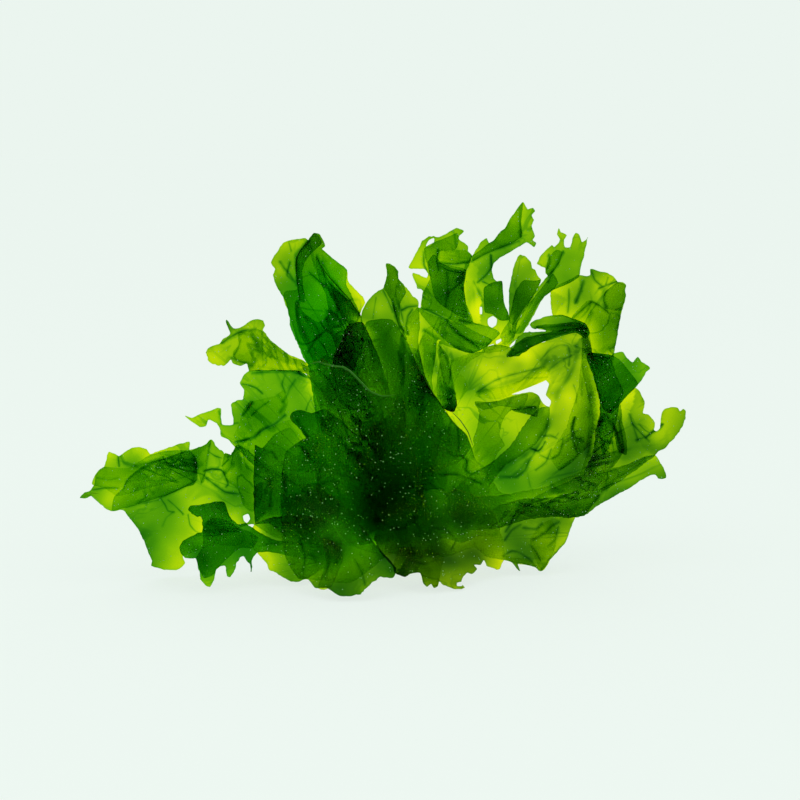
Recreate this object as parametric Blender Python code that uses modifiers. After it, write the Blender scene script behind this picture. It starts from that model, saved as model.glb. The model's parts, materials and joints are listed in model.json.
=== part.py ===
"""Sea lettuce: a loose clump of thin green blades, resting as picked on a flat surface.

Every blade is one solid. The blades meet at the heart of the clump, low down in the middle, and
fan out to the left, the right and upwards, some nearer the viewer and some further back.

The outlines are set out on a front view of the clump, drawn on a sheet of 800 by 800 squares of
0.3 mm. A point of an outline is (column, row). A point of a blade's depth list is (column, row,
depth), with the depth in millimetres from the middle of the clump, away from the viewer. The
front view is seen from VIEW_DISTANCE, a little from above, so each point is carried along its
line of sight to its depth.
"""

import math
from typing import NamedTuple

import bmesh
import bpy
import numpy as np
from mathutils.geometry import delaunay_2d_cdt

# Driving sizes, in metres
SQUARE = 0.0003
THICKNESS = 0.0006
CLEARANCE = 0.002
FOLD_STEP = 0.0009
OVERSHOOT = 0.002

# The front view
VIEW_DISTANCE = 0.667
VIEW_TILT = math.radians(8)
VIEW_CENTRE = (0.0048, 0.0, 0.050)
MIDDLE_SQUARE = 400

# How far a blade's middle lies from the origin as drawn, taken off every point
MIDDLE = (0.0001, -0.0025, -0.00145)

# Sizes of the mesh, in squares
LONGEST_EDGE = 18
SHORTEST_EDGE = 3.5
INNER_STEP = 18
EDGE_MARGIN = 7

# The lattice that carries the depths, in squares
LATTICE_STEP = 8
LATTICE_COLUMNS = np.arange(56, 713, LATTICE_STEP)
LATTICE_ROWS = np.arange(176, 617, LATTICE_STEP)

# A blade lies close behind those before it, and eases away past their edges
EASE_PER_SQUARE = 0.00035
SMOOTHING_ROUNDS = 10

COLLECTION = "sea_lettuce"
YELLOW_GREEN = (0.30, 0.51, 0.01, 1.0)
DEEP_GREEN = (0.03, 0.18, 0.01, 1.0)
ROUGHNESS = 0.3
TRANSMISSION = 0.8


class Blade(NamedTuple):
    """One blade: its outline and holes, its depths, and the room that its folds take before it."""

    name: str
    outline: list
    depths: list
    holes: list = []
    folds: list = []


# The blades, nearest the viewer first
BLADES = [
    Blade(
        name="front_bottom_blade",
        outline=[
            (299, 579), (308, 579), (315, 588), (326, 588), (340, 596), (350, 596), (361, 594),
            (369, 585), (380, 577), (393, 578), (396, 568), (385, 555), (372, 540), (362, 525),
            (350, 510), (335, 497), (315, 490), (300, 497), (287, 510), (281, 530), (284, 552),
            (291, 568)
        ],
        depths=[
            (345, 596, -45), (300, 575, -33), (390, 572, -38), (335, 497, -30), (285, 520, -27),
            (350, 550, -44)
        ],
        folds=[
            [(322, 538), (332, 540), (342, 548), (343, 560), (338, 572), (332, 586), (324, 590),
             (318, 588), (322, 575), (326, 560), (324, 548)],
        ],
    ),
    Blade(
        name="fringe_blade",
        outline=[
            (393, 567), (395, 573), (405, 577), (410, 574), (420, 573), (423, 583), (427, 587),
            (431, 584), (434, 588), (438, 586), (439, 582), (444, 585), (450, 588), (456, 589),
            (465, 588), (461, 583), (464, 576), (467, 573), (472, 574), (477, 569), (474, 565),
            (480, 565), (484, 560), (487, 566), (493, 568), (497, 570), (500, 569), (502, 563),
            (505, 558), (503, 540), (495, 515), (478, 497), (450, 488), (422, 494), (402, 515),
            (390, 545)
        ],
        depths=[
            (427, 588, -36), (458, 588, -36), (497, 570, -13), (395, 570, -30), (450, 490, -22),
            (395, 530, -24), (500, 530, -12)
        ],
        holes=[
            [(457, 583), (463, 582), (462, 586), (457, 586)],
        ],
        folds=[
            [(393, 567), (395, 573), (405, 577), (410, 574), (420, 573), (423, 583), (427, 587),
             (431, 584), (434, 588), (438, 586), (441, 570), (443, 556), (425, 548), (400, 548)],
        ],
    ),
    Blade(
        name="lower_right_band",
        outline=[
            (655, 455), (658, 458), (661, 464), (664, 468), (666, 477), (663, 479), (658, 478),
            (656, 475), (650, 476), (640, 481), (630, 488), (620, 493), (612, 498), (600, 504),
            (590, 512), (585, 516), (572, 518), (550, 517), (525, 520), (500, 528), (470, 530),
            (450, 515), (470, 498), (500, 495), (530, 490), (548, 486), (560, 480), (580, 472),
            (605, 470), (628, 464), (645, 456)
        ],
        depths=[
            (662, 472, -12), (655, 456, -10), (590, 510, -8), (550, 490, -4), (460, 515, -15)
        ],
        holes=[
            [(548, 497), (553, 494), (557, 495), (555, 499), (549, 500)],
        ],
        folds=[
            [(655, 455), (640, 462), (628, 469), (618, 477), (608, 485), (600, 495), (592, 506),
             (585, 515), (572, 517), (550, 515), (530, 517), (515, 510), (530, 500), (548, 490),
             (562, 484), (580, 475), (605, 472), (628, 464), (645, 457)],
            [(600, 495), (592, 506), (585, 515), (572, 517), (555, 514), (540, 505), (550, 500),
             (565, 494), (580, 498)],
        ],
    ),
    Blade(
        name="lower_right_blade",
        outline=[
            (542, 571), (550, 560), (558, 551), (565, 543), (569, 534), (572, 525), (576, 514),
            (560, 500), (530, 498), (500, 505), (480, 518), (470, 540), (485, 556), (503, 560),
            (511, 562), (517, 569), (520, 571), (518, 564), (527, 565), (535, 567), (539, 571)
        ],
        depths=[
            (541, 571, -13), (575, 515, 2), (480, 540, -15), (510, 563, -12), (530, 500, 0)
        ],
        folds=[
            [(542, 571), (550, 560), (556, 545), (556, 528), (550, 520), (538, 528), (530, 540),
             (534, 555)],
            [(503, 556), (515, 558), (530, 560), (540, 570), (535, 567), (527, 565), (518, 564),
             (511, 562)],
        ],
    ),
    Blade(
        name="dark_right_lobe",
        outline=[
            (587, 354), (612, 355), (613, 353), (623, 352), (627, 358), (633, 362), (638, 357),
            (641, 362), (645, 364), (650, 368), (646, 373), (641, 381), (635, 388), (628, 395),
            (620, 404), (616, 425), (610, 445), (603, 455), (599, 430), (600, 402), (593, 375)
        ],
        depths=[
            (590, 355, 2), (648, 368, -14), (612, 400, -6), (605, 450, 2)
        ],
        folds=[
            [(587, 354), (612, 355), (620, 360), (630, 372), (638, 384), (628, 395), (620, 404),
             (612, 414), (604, 410), (600, 400), (593, 375)],
            [(590, 357), (610, 357), (616, 375), (624, 392), (618, 404), (610, 412), (604, 410),
             (600, 400), (594, 375)],
        ],
    ),
    Blade(
        name="right_lobe_blade",
        outline=[
            (620, 404), (625, 397), (630, 392), (635, 388), (640, 391), (644, 400), (645, 405),
            (643, 413), (648, 414), (652, 418), (655, 423), (654, 430), (657, 431), (660, 428),
            (661, 420), (662, 413), (665, 409), (672, 407), (678, 408), (680, 411), (683, 409),
            (686, 411), (685, 420), (682, 427), (677, 435), (672, 441), (665, 448), (660, 451),
            (655, 456), (640, 467), (625, 478), (605, 490), (580, 500), (565, 495), (580, 478),
            (592, 455), (596, 430), (600, 415), (610, 410)
        ],
        depths=[
            (682, 410, -24), (636, 390, -2), (655, 455, -8), (600, 425, 4), (570, 495, 4),
            (655, 425, -6)
        ],
        folds=[
            [(598, 425), (604, 412), (612, 408), (618, 415), (622, 430), (624, 450), (615, 465),
             (600, 475), (588, 480), (594, 455)],
            [(612, 408), (620, 404), (622, 420), (627, 440), (626, 455), (618, 450), (614, 430)],
        ],
    ),
    Blade(
        name="star_blade",
        outline=[
            (188, 510), (190, 506), (200, 505), (210, 503), (224, 502), (229, 515), (238, 524),
            (246, 523), (256, 530), (275, 540), (300, 542), (322, 545), (318, 560), (290, 556),
            (270, 552), (257, 553), (252, 560), (251, 572), (250, 564), (247, 561), (244, 557),
            (240, 558), (237, 562), (234, 571), (230, 577), (227, 576), (225, 566), (219, 567),
            (216, 570), (214, 580), (210, 587), (206, 586), (200, 580), (199, 572), (197, 563),
            (195, 559), (185, 558), (181, 554), (179, 547), (183, 541), (190, 537), (197, 533),
            (202, 532), (203, 525), (202, 517), (197, 517), (191, 514)
        ],
        depths=[
            (208, 587, -34), (188, 508, -24), (182, 548, -31), (230, 577, -26), (250, 535, -30),
            (320, 550, -20)
        ],
        folds=[
            [(203, 525), (212, 518), (225, 520), (240, 528), (250, 532), (258, 538), (252, 548),
             (240, 548), (228, 558), (219, 567), (212, 575), (204, 578), (198, 565), (196, 558),
             (203, 545)],
            [(210, 503), (224, 502), (229, 515), (235, 525), (246, 535), (240, 545), (222, 545),
             (208, 540), (204, 528), (212, 515)],
        ],
    ),
    Blade(
        name="bottom_left_strip",
        outline=[
            (253, 549), (257, 553), (262, 558), (266, 563), (270, 570), (280, 575), (290, 581),
            (298, 582), (310, 577), (330, 563), (342, 545), (330, 522), (300, 515), (270, 518),
            (256, 523), (250, 532)
        ],
        depths=[
            (290, 581, -27), (254, 545, -20), (340, 545, -15), (300, 520, -14)
        ],
    ),
    Blade(
        name="pocket_blade",
        outline=[
            (300, 362), (306, 366), (315, 360), (322, 358), (333, 366), (343, 366), (350, 370),
            (360, 380), (370, 392), (380, 396), (392, 397), (400, 393), (405, 402), (408, 430),
            (420, 470), (428, 520), (415, 548), (385, 555), (350, 545), (325, 510), (314, 465),
            (318, 430), (328, 412), (326, 400), (320, 391), (310, 380)
        ],
        depths=[
            (322, 358, -30), (392, 397, -34), (304, 366, -20), (345, 420, -36), (410, 470, -26),
            (360, 540, -20)
        ],
        folds=[
            [(313, 385), (320, 391), (327, 400), (328, 410), (335, 418), (350, 422), (370, 421),
             (383, 420), (393, 410), (398, 396), (404, 402), (406, 425), (400, 445), (375, 440),
             (345, 440), (322, 432), (322, 415)],
        ],
    ),
    Blade(
        name="olive_blade",
        outline=[
            (290, 418), (292, 412), (300, 410), (312, 413), (325, 409), (340, 420), (360, 440),
            (380, 480), (390, 520), (385, 556), (350, 583), (320, 580), (300, 578), (286, 560),
            (281, 520), (281, 480), (286, 452), (300, 441), (306, 438), (298, 427)
        ],
        depths=[
            (300, 411, -26), (340, 425, -24), (385, 520, -14), (300, 576, -28), (282, 490, -22),
            (350, 580, -26)
        ],
        folds=[
            [(281, 480), (286, 452), (300, 441), (306, 438), (320, 450), (335, 480), (340, 520),
             (330, 550), (310, 565), (292, 560), (282, 530)],
        ],
    ),
    Blade(
        name="square_blade",
        outline=[
            (255, 523), (255, 445), (262, 448), (275, 434), (290, 428), (303, 443), (325, 455),
            (345, 475), (360, 510), (350, 542), (322, 548), (300, 546), (285, 536), (270, 524)
        ],
        depths=[
            (255, 523, -16), (255, 447, -24), (290, 430, -16), (355, 520, -8), (300, 545, -14)
        ],
        folds=[
            [(262, 470), (280, 462), (300, 455), (325, 465), (342, 490), (350, 520), (330, 540),
             (300, 540), (280, 526), (280, 495), (270, 490)],
        ],
    ),
    Blade(
        name="small_pocket_blade",
        outline=[
            (331, 366), (335, 352), (340, 342), (345, 330), (349, 324), (362, 322), (368, 332),
            (380, 360), (392, 400), (396, 440), (392, 480), (365, 495), (340, 465), (328, 420),
            (326, 390)
        ],
        depths=[
            (355, 322, -26), (333, 360, -20), (395, 440, -14), (350, 470, -12)
        ],
        folds=[
            [(335, 352), (340, 342), (345, 330), (349, 324), (362, 322), (365, 335), (362, 352),
             (355, 364), (343, 366), (333, 364)],
        ],
    ),
    Blade(
        name="crown_blade",
        outline=[
            (366, 322), (372, 320), (385, 319), (393, 320), (400, 330), (408, 343), (415, 360),
            (428, 385), (437, 398), (445, 410), (456, 425), (466, 434), (471, 446), (476, 460),
            (487, 470), (490, 490), (489, 515), (484, 540), (450, 556), (410, 558), (370, 545),
            (352, 500), (348, 450), (352, 400), (359, 360)
        ],
        depths=[
            (380, 320, -16), (408, 345, -14), (470, 445, -22), (488, 500, -10), (355, 440, -8),
            (420, 550, -6)
        ],
        folds=[
            [(398, 372), (415, 362), (428, 385), (437, 398), (445, 410), (456, 425), (466, 434),
             (471, 446), (462, 460), (440, 470), (420, 480), (395, 470), (390, 430)],
        ],
    ),
    Blade(
        name="strand_blade",
        outline=[
            (540, 408), (549, 407), (549, 420), (545, 432), (535, 445), (520, 456), (505, 466),
            (494, 480), (478, 500), (460, 510), (450, 495), (470, 475), (486, 466), (497, 458),
            (508, 448), (516, 438), (522, 428), (530, 418)
        ],
        depths=[
            (545, 408, -2), (520, 450, -4), (460, 500, 0)
        ],
    ),
    Blade(
        name="small_right_leaf",
        outline=[
            (475, 402), (488, 402), (500, 400), (515, 395), (530, 392), (538, 395), (541, 401),
            (539, 406), (537, 417), (530, 415), (512, 410), (503, 420), (500, 435), (505, 445),
            (498, 452), (494, 462), (486, 474), (470, 480), (462, 465), (474, 445), (473, 440),
            (478, 425), (479, 412)
        ],
        depths=[
            (538, 398, 0), (478, 404, 4), (490, 450, 2), (468, 475, 4)
        ],
        folds=[
            [(476, 404), (500, 401), (515, 396), (528, 394), (522, 408), (500, 406), (484, 410)],
            [(512, 410), (524, 408), (536, 406), (537, 417), (530, 415)],
        ],
    ),
    Blade(
        name="pointed_blade",
        outline=[
            (361, 315), (366, 303), (372, 296), (378, 291), (383, 288), (387, 275), (386, 264),
            (390, 264), (395, 267), (398, 271), (398, 278), (403, 284), (408, 290), (414, 297),
            (418, 300), (419, 310), (420, 325), (418, 342), (425, 375), (440, 410), (452, 450),
            (440, 500), (415, 535), (390, 515), (375, 470), (366, 420), (364, 370), (361, 340)
        ],
        depths=[
            (390, 266, -12), (362, 318, -6), (418, 302, -2), (440, 440, -4), (372, 450, -2),
            (415, 530, 0)
        ],
        folds=[
            [(387, 275), (386, 264), (390, 264), (395, 267), (398, 271), (398, 278), (403, 284),
             (406, 292), (400, 304), (400, 320), (407, 340), (401, 335), (396, 318), (391, 300),
             (384, 289)],
            [(361, 340), (375, 322), (385, 330), (400, 345), (418, 350), (425, 375), (430, 400),
             (410, 430), (380, 430), (364, 400)],
        ],
    ),
    Blade(
        name="tall_blade",
        outline=[
            (271, 262), (278, 250), (283, 243), (287, 241), (297, 239), (305, 238), (308, 240),
            (314, 233), (319, 234), (323, 240), (325, 246), (322, 249), (330, 256), (340, 264),
            (347, 270), (348, 281), (355, 289), (363, 297), (365, 303), (360, 314), (366, 335),
            (385, 380), (398, 440), (396, 500), (380, 535), (350, 520), (330, 480), (318, 430),
            (312, 390), (308, 366), (300, 350), (295, 338), (290, 325), (288, 310), (285, 300),
            (280, 292), (276, 285), (273, 275), (275, 269)
        ],
        depths=[
            (300, 240, -24), (272, 262, -12), (360, 312, -8), (320, 320, -18), (310, 365, -8),
            (390, 480, 6)
        ],
        folds=[
            [(309, 240), (302, 248), (296, 257), (295, 270), (297, 284), (299, 300), (305, 302),
             (303, 285), (302, 272), (305, 262), (311, 254), (318, 247), (322, 243), (319, 236),
             (314, 233)],
            [(316, 256), (322, 268), (330, 283), (343, 295), (350, 301), (360, 314), (366, 335),
             (380, 370), (370, 400), (340, 400), (318, 372), (306, 345), (300, 335), (296, 318),
             (296, 300), (303, 312), (318, 322), (328, 315), (326, 296), (318, 276)],
            [(308, 240), (314, 233), (319, 234), (323, 240), (325, 246), (322, 249), (330, 256),
             (340, 264), (347, 270), (346, 284), (353, 298), (360, 314), (366, 335), (385, 380),
             (390, 430), (385, 480), (355, 490), (335, 455), (322, 410), (309, 366), (297, 340),
             (289, 314), (283, 297), (286, 291), (297, 289), (296, 272), (296, 258), (300, 250)],
        ],
    ),
    Blade(
        name="left_sheet_blade",
        outline=[
            (249, 371), (244, 375), (240, 383), (244, 390), (243, 399), (240, 400), (231, 404),
            (233, 424), (222, 424), (221, 409), (217, 408), (207, 412), (200, 414), (192, 418),
            (185, 416), (195, 424), (200, 427), (206, 426), (208, 420), (211, 420), (217, 424),
            (220, 430), (221, 436), (228, 439), (231, 443), (236, 448), (250, 462), (285, 482),
            (325, 490), (352, 470), (345, 430), (330, 405), (320, 390), (312, 378), (300, 371),
            (280, 370), (262, 370)
        ],
        depths=[
            (185, 416, -18), (242, 385, -10), (310, 376, -2), (235, 438, -12), (285, 425, -4),
            (345, 465, 8)
        ],
        folds=[
            [(250, 402), (262, 399), (275, 396), (284, 390), (288, 402), (284, 413), (262, 430),
             (248, 440), (238, 442), (234, 436), (239, 424), (244, 408)],
            [(236, 441), (250, 440), (270, 428), (290, 420), (310, 430), (330, 450), (340, 470),
             (310, 482), (280, 478), (250, 462)],
        ],
    ),
    Blade(
        name="upper_left_blade",
        outline=[
            (206, 352), (208, 348), (214, 345), (219, 344), (223, 339), (230, 334), (226, 320),
            (233, 328), (239, 328), (243, 326), (250, 321), (258, 319), (263, 321), (265, 326),
            (263, 330), (266, 334), (270, 340), (280, 348), (288, 354), (293, 358), (304, 361),
            (325, 375), (350, 402), (368, 440), (360, 475), (335, 455), (318, 420), (313, 390),
            (311, 377), (300, 372), (280, 371), (253, 371), (249, 371), (247, 364), (240, 366),
            (232, 363), (231, 360), (225, 365), (219, 366), (213, 364), (208, 359)
        ],
        depths=[
            (206, 354, -20), (255, 320, -4), (250, 370, -16), (300, 362, -4), (360, 440, 8)
        ],
        folds=[
            [(238, 333), (247, 331), (256, 329), (263, 331), (270, 340), (288, 354), (304, 361),
             (309, 371), (300, 372), (280, 371), (253, 371), (249, 371), (247, 364), (240, 362),
             (234, 358), (233, 352), (239, 345)],
        ],
    ),
    Blade(
        name="left_blade",
        outline=[
            (80, 498), (84, 493), (90, 491), (94, 484), (95, 475), (98, 471), (104, 467), (107, 457),
            (109, 452), (119, 456), (125, 452), (132, 448), (140, 447), (146, 449), (150, 454),
            (160, 450), (172, 446), (189, 442), (190, 450), (200, 447), (206, 444), (211, 440),
            (216, 446), (225, 453), (231, 455), (237, 445), (248, 450), (268, 470), (295, 500),
            (318, 530), (300, 545), (270, 535), (252, 524), (240, 528), (215, 545), (183, 556),
            (185, 563), (182, 567), (176, 570), (165, 570), (158, 568), (152, 566), (154, 561),
            (152, 556), (148, 545), (144, 531), (133, 518), (124, 509), (110, 511), (100, 504),
            (91, 496), (85, 498)
        ],
        depths=[
            (80, 497, -26), (120, 456, -30), (110, 510, -30), (165, 570, -14), (205, 445, -22),
            (200, 500, -12), (300, 530, 4)
        ],
        holes=[
            [(243, 516), (248, 514), (250, 519), (247, 523), (244, 521)],
        ],
        folds=[
            [(114, 497), (123, 488), (128, 478), (140, 468), (150, 462), (165, 458), (182, 452),
             (190, 451), (196, 458), (197, 470), (197, 479), (193, 485), (185, 487), (175, 492),
             (165, 496), (155, 499), (145, 502), (130, 507), (120, 509), (112, 511)],
            [(92, 484), (95, 475), (98, 471), (104, 467), (117, 468), (128, 468), (148, 456),
             (165, 451), (189, 450), (200, 447), (206, 444), (211, 440), (210, 446), (207, 460),
             (204, 482), (201, 483), (198, 474), (190, 476), (165, 484), (140, 490), (118, 496),
             (104, 488)],
            [(225, 453), (231, 455), (237, 445), (248, 450), (260, 464), (262, 500), (252, 512),
             (243, 505), (238, 490), (226, 480), (222, 466)],
        ],
    ),
    Blade(
        name="curled_blade",
        outline=[
            (409, 268), (412, 260), (418, 250), (422, 241), (428, 237), (434, 236), (440, 237),
            (450, 231), (457, 228), (464, 231), (460, 235), (459, 239), (463, 242), (468, 246),
            (468, 251), (472, 256), (467, 270), (464, 285), (466, 303), (473, 322), (488, 326),
            (500, 333), (494, 340), (486, 347), (473, 353), (465, 352), (455, 348), (447, 342),
            (438, 340), (436, 355), (432, 380), (436, 410), (440, 450), (428, 490), (408, 470),
            (404, 430), (408, 400), (412, 360), (407, 343), (403, 335), (406, 322), (412, 313),
            (418, 308), (421, 306), (423, 291), (418, 288), (414, 281), (413, 273), (422, 276),
            (427, 278), (428, 273), (424, 269)
        ],
        depths=[
            (412, 262, -10), (457, 228, -12), (467, 285, -6), (500, 335, 2), (420, 310, -2),
            (430, 340, 2), (425, 450, 6)
        ],
        holes=[
            [(426, 246), (429, 240), (434, 238), (434, 242), (430, 246)],
        ],
        folds=[
            [(424, 249), (430, 244), (440, 240), (450, 236), (457, 233), (459, 239), (455, 250),
             (440, 251), (438, 262), (452, 266), (466, 270), (464, 285), (466, 303), (473, 322),
             (460, 325), (448, 318), (436, 312), (421, 308), (424, 291), (430, 278), (428, 268)],
            [(428, 262), (434, 254), (440, 262), (452, 268), (464, 272), (463, 286), (464, 303),
             (468, 318), (452, 312), (436, 300), (432, 286)],
            [(418, 308), (430, 314), (447, 320), (465, 326), (480, 334), (492, 340), (486, 347),
             (473, 353), (465, 352), (455, 348), (447, 342), (440, 335), (430, 325)],
        ],
    ),
    Blade(
        name="vertical_leaf",
        outline=[
            (436, 342), (441, 346), (448, 356), (452, 372), (455, 390), (457, 404), (453, 412),
            (446, 410), (437, 398), (433, 385), (434, 370), (433, 355)
        ],
        depths=[
            (438, 343, 8), (455, 405, 2), (436, 395, 4)
        ],
        folds=[
            [(438, 345), (446, 356), (451, 372), (454, 392), (450, 400), (444, 385), (440, 365)],
        ],
    ),
    Blade(
        name="upper_middle_blade",
        outline=[
            (472, 256), (476, 250), (480, 243), (483, 240), (487, 238), (489, 243), (494, 240),
            (500, 232), (505, 228), (510, 219), (515, 212), (520, 205), (523, 202), (528, 209),
            (533, 208), (535, 211), (532, 215), (534, 220), (532, 226), (535, 236), (533, 240),
            (536, 243), (534, 247), (527, 242), (520, 246), (510, 252), (500, 258), (494, 263),
            (492, 270), (494, 278), (498, 282), (502, 281), (503, 290), (504, 303), (508, 312),
            (510, 318), (511, 330), (514, 340), (506, 350), (490, 353), (465, 352), (440, 345),
            (430, 370), (425, 410), (408, 410), (410, 370), (425, 330), (450, 316), (458, 300),
            (460, 280), (464, 264), (440, 263), (438, 250), (450, 250), (465, 250)
        ],
        depths=[
            (523, 203, -20), (480, 243, -10), (505, 255, -8), (495, 300, 6), (440, 256, -2),
            (508, 345, 8), (415, 405, 10)
        ],
        holes=[
            [(488, 319), (493, 316), (497, 319), (496, 325), (491, 328), (488, 324)],
            [(480, 307), (482, 307), (482, 314), (480, 314)],
            [(496, 341), (504, 338), (504, 342), (497, 345)],
            [(488, 346), (494, 344), (493, 348), (488, 349)],
        ],
        folds=[
            [(472, 256), (480, 250), (489, 243), (494, 240), (500, 232), (505, 228), (510, 219),
             (515, 212), (520, 205), (523, 202), (521, 222), (522, 236), (510, 244), (495, 250),
             (482, 256), (473, 261)],
            [(484, 288), (491, 283), (502, 281), (503, 290), (504, 303), (508, 312), (509, 320),
             (500, 320), (492, 314), (485, 312)],
        ],
    ),
    Blade(
        name="narrow_blade",
        outline=[
            (520, 255), (525, 256), (531, 262), (532, 268), (535, 270), (538, 276), (541, 280),
            (536, 292), (526, 308), (518, 322), (514, 338), (505, 345), (500, 336), (509, 320),
            (509, 305), (509, 290), (511, 280), (513, 270), (517, 258)
        ],
        depths=[
            (524, 255, -6), (510, 300, 2), (540, 280, -2), (505, 340, 6)
        ],
        folds=[
            [(512, 306), (516, 290), (524, 280), (533, 281), (541, 280), (533, 296), (521, 313),
             (513, 325), (509, 320)],
        ],
    ),
    Blade(
        name="dark_fold_blade",
        outline=[
            (530, 325), (535, 320), (545, 317), (555, 315), (563, 315), (572, 318), (585, 323),
            (590, 332), (586, 338), (576, 333), (565, 335), (550, 340), (535, 345), (520, 355),
            (506, 358), (510, 350), (516, 340), (524, 333), (546, 331), (543, 329), (535, 329)
        ],
        depths=[
            (530, 325, -6), (508, 355, -2), (588, 330, 2)
        ],
        folds=[
            [(510, 352), (517, 343), (526, 337), (547, 333), (565, 329), (586, 328), (586, 336),
             (576, 331), (560, 335), (545, 341), (530, 348), (518, 354), (508, 357)],
            [(536, 327), (556, 324), (575, 322), (588, 328), (580, 330), (556, 331)],
        ],
    ),
    Blade(
        name="big_right_blade",
        outline=[
            (442, 346), (455, 350), (466, 353), (473, 357), (480, 356), (485, 351), (500, 349),
            (510, 350), (520, 352), (535, 345), (550, 340), (565, 335), (578, 330), (587, 333),
            (592, 350), (596, 380), (602, 400), (608, 430), (610, 460), (603, 480), (588, 496),
            (565, 506), (535, 512), (505, 518), (475, 526), (450, 518), (432, 480), (432, 440),
            (437, 410), (437, 380), (440, 360)
        ],
        depths=[
            (450, 356, 6), (500, 375, 2), (586, 334, 12), (606, 440, 10), (555, 430, 2), (500, 500, 6),
            (440, 460, 10)
        ],
        holes=[
            [(511, 394), (530, 387), (545, 380), (549, 384), (546, 395), (551, 401), (549, 407),
             (543, 403), (538, 395), (532, 392), (520, 394)],
        ],
        folds=[
            [(475, 396), (500, 399), (513, 394), (530, 387), (546, 380), (550, 372), (545, 366),
             (530, 376), (505, 386), (480, 390)],
            [(549, 357), (555, 348), (563, 345), (569, 351), (570, 362), (566, 375), (558, 382),
             (553, 392), (551, 402), (546, 395), (549, 384), (548, 370)],
            [(583, 334), (589, 334), (592, 350), (596, 380), (602, 400), (608, 430), (610, 460),
             (603, 480), (588, 496), (570, 503), (578, 480), (588, 450), (592, 420), (588, 395),
             (582, 370)],
            [(440, 378), (452, 372), (463, 376), (468, 388), (462, 398), (452, 402), (440, 400)],
        ],
    ),
    Blade(
        name="upper_right_frond",
        outline=[
            (537, 264), (540, 257), (546, 250), (552, 245), (554, 247), (559, 243), (560, 239),
            (557, 234), (559, 228), (561, 232), (567, 235), (564, 240), (565, 247), (570, 247),
            (573, 237), (576, 233), (579, 234), (582, 242), (586, 240), (588, 237), (585, 250),
            (584, 257), (581, 265), (579, 277), (565, 285), (555, 289), (545, 296), (540, 303),
            (535, 313), (530, 322), (522, 334), (508, 346), (485, 352), (462, 368), (452, 392),
            (445, 430), (435, 470), (418, 470), (420, 430), (436, 385), (448, 362), (480, 350),
            (500, 342), (508, 330), (520, 318), (530, 300), (538, 288), (543, 281), (548, 276),
            (546, 273), (546, 268), (542, 267)
        ],
        depths=[
            (576, 233, -10), (538, 262, 0), (578, 275, 2), (525, 320, 10), (455, 375, 12),
            (425, 465, 14)
        ],
        folds=[
            [(548, 280), (553, 274), (558, 283), (552, 291), (545, 296), (538, 304), (530, 320),
             (521, 333), (510, 332), (520, 318), (530, 302), (540, 290)],
            [(546, 268), (549, 258), (556, 250), (562, 252), (560, 262), (553, 272), (548, 276)],
        ],
    ),
    Blade(
        name="right_top_blade",
        outline=[
            (578, 277), (586, 277), (590, 275), (590, 269), (596, 270), (602, 272), (608, 273),
            (614, 277), (618, 282), (622, 282), (626, 285), (625, 290), (626, 295), (624, 303),
            (621, 312), (619, 325), (617, 338), (614, 354), (610, 380), (600, 420), (585, 450),
            (560, 470), (550, 455), (565, 430), (578, 390), (582, 350), (580, 328), (572, 320),
            (563, 316), (553, 316), (551, 305), (551, 291), (560, 288), (572, 283)
        ],
        depths=[
            (592, 270, 4), (626, 288, 0), (552, 300, 10), (612, 350, 14), (560, 460, 16),
            (590, 320, 20)
        ],
        folds=[
            [(572, 318), (576, 312), (580, 308), (587, 301), (593, 301), (600, 305), (605, 309),
             (614, 310), (622, 307), (619, 325), (617, 338), (614, 354), (610, 372), (598, 375),
             (592, 360), (589, 345), (585, 328)],
            [(605, 292), (612, 286), (618, 282), (626, 285), (625, 290), (626, 295), (624, 303),
             (622, 310), (612, 310), (606, 308), (603, 300)],
        ],
    ),
    Blade(
        name="back_left_blade",
        outline=[
            (330, 546), (318, 538), (309, 524), (303, 508), (305, 496), (299, 488), (303, 472),
            (301, 460), (308, 452), (306, 440), (315, 432), (320, 420), (330, 418), (336, 408),
            (345, 404), (352, 410), (362, 406), (370, 414), (378, 424), (386, 440), (396, 456),
            (402, 480), (405, 505), (400, 530), (388, 542), (370, 540), (350, 546)
        ],
        depths=[
            (310, 500, 4), (345, 405, 14), (395, 450, 20), (330, 545, 20), (400, 540, 24),
            (355, 475, 10)
        ],
        folds=[
            [(303, 472), (301, 460), (308, 452), (306, 440), (315, 432), (320, 420), (330, 418),
             (336, 430), (330, 455), (318, 470)],
        ],
    ),
    Blade(
        name="back_middle_blade",
        outline=[
            (360, 545), (353, 525), (346, 500), (350, 485), (347, 465), (352, 445), (350, 430),
            (358, 415), (360, 398), (367, 388), (370, 372), (378, 362), (386, 364), (391, 356),
            (399, 360), (405, 372), (412, 380), (414, 395), (423, 408), (428, 425), (438, 438),
            (441, 458), (448, 475), (446, 500), (450, 520), (440, 538), (425, 535), (405, 544),
            (385, 538)
        ],
        depths=[
            (385, 358, 34), (360, 470, 20), (440, 480, 24), (400, 545, 30), (400, 430, 22)
        ],
    ),
    Blade(
        name="back_right_blade",
        outline=[
            (412, 543), (402, 520), (404, 500), (412, 486), (416, 470), (424, 460), (426, 445),
            (435, 436), (441, 428), (450, 434), (456, 442), (464, 446), (468, 458), (478, 466),
            (482, 478), (492, 480), (500, 492), (512, 496), (517, 506), (513, 520), (500, 528),
            (495, 536), (478, 536), (462, 543), (445, 538), (430, 544)
        ],
        depths=[
            (440, 428, 40), (515, 505, 20), (405, 500, 30), (450, 543, 36), (470, 480, 26)
        ],
    ),
]


def view_axes():
    """The viewer's directions: ahead, to the right and up."""
    ahead = np.array([0.0, math.cos(VIEW_TILT), -math.sin(VIEW_TILT)])
    right = np.array([1.0, 0.0, 0.0])
    up = np.array([0.0, math.sin(VIEW_TILT), math.cos(VIEW_TILT)])
    return ahead, right, up


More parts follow.
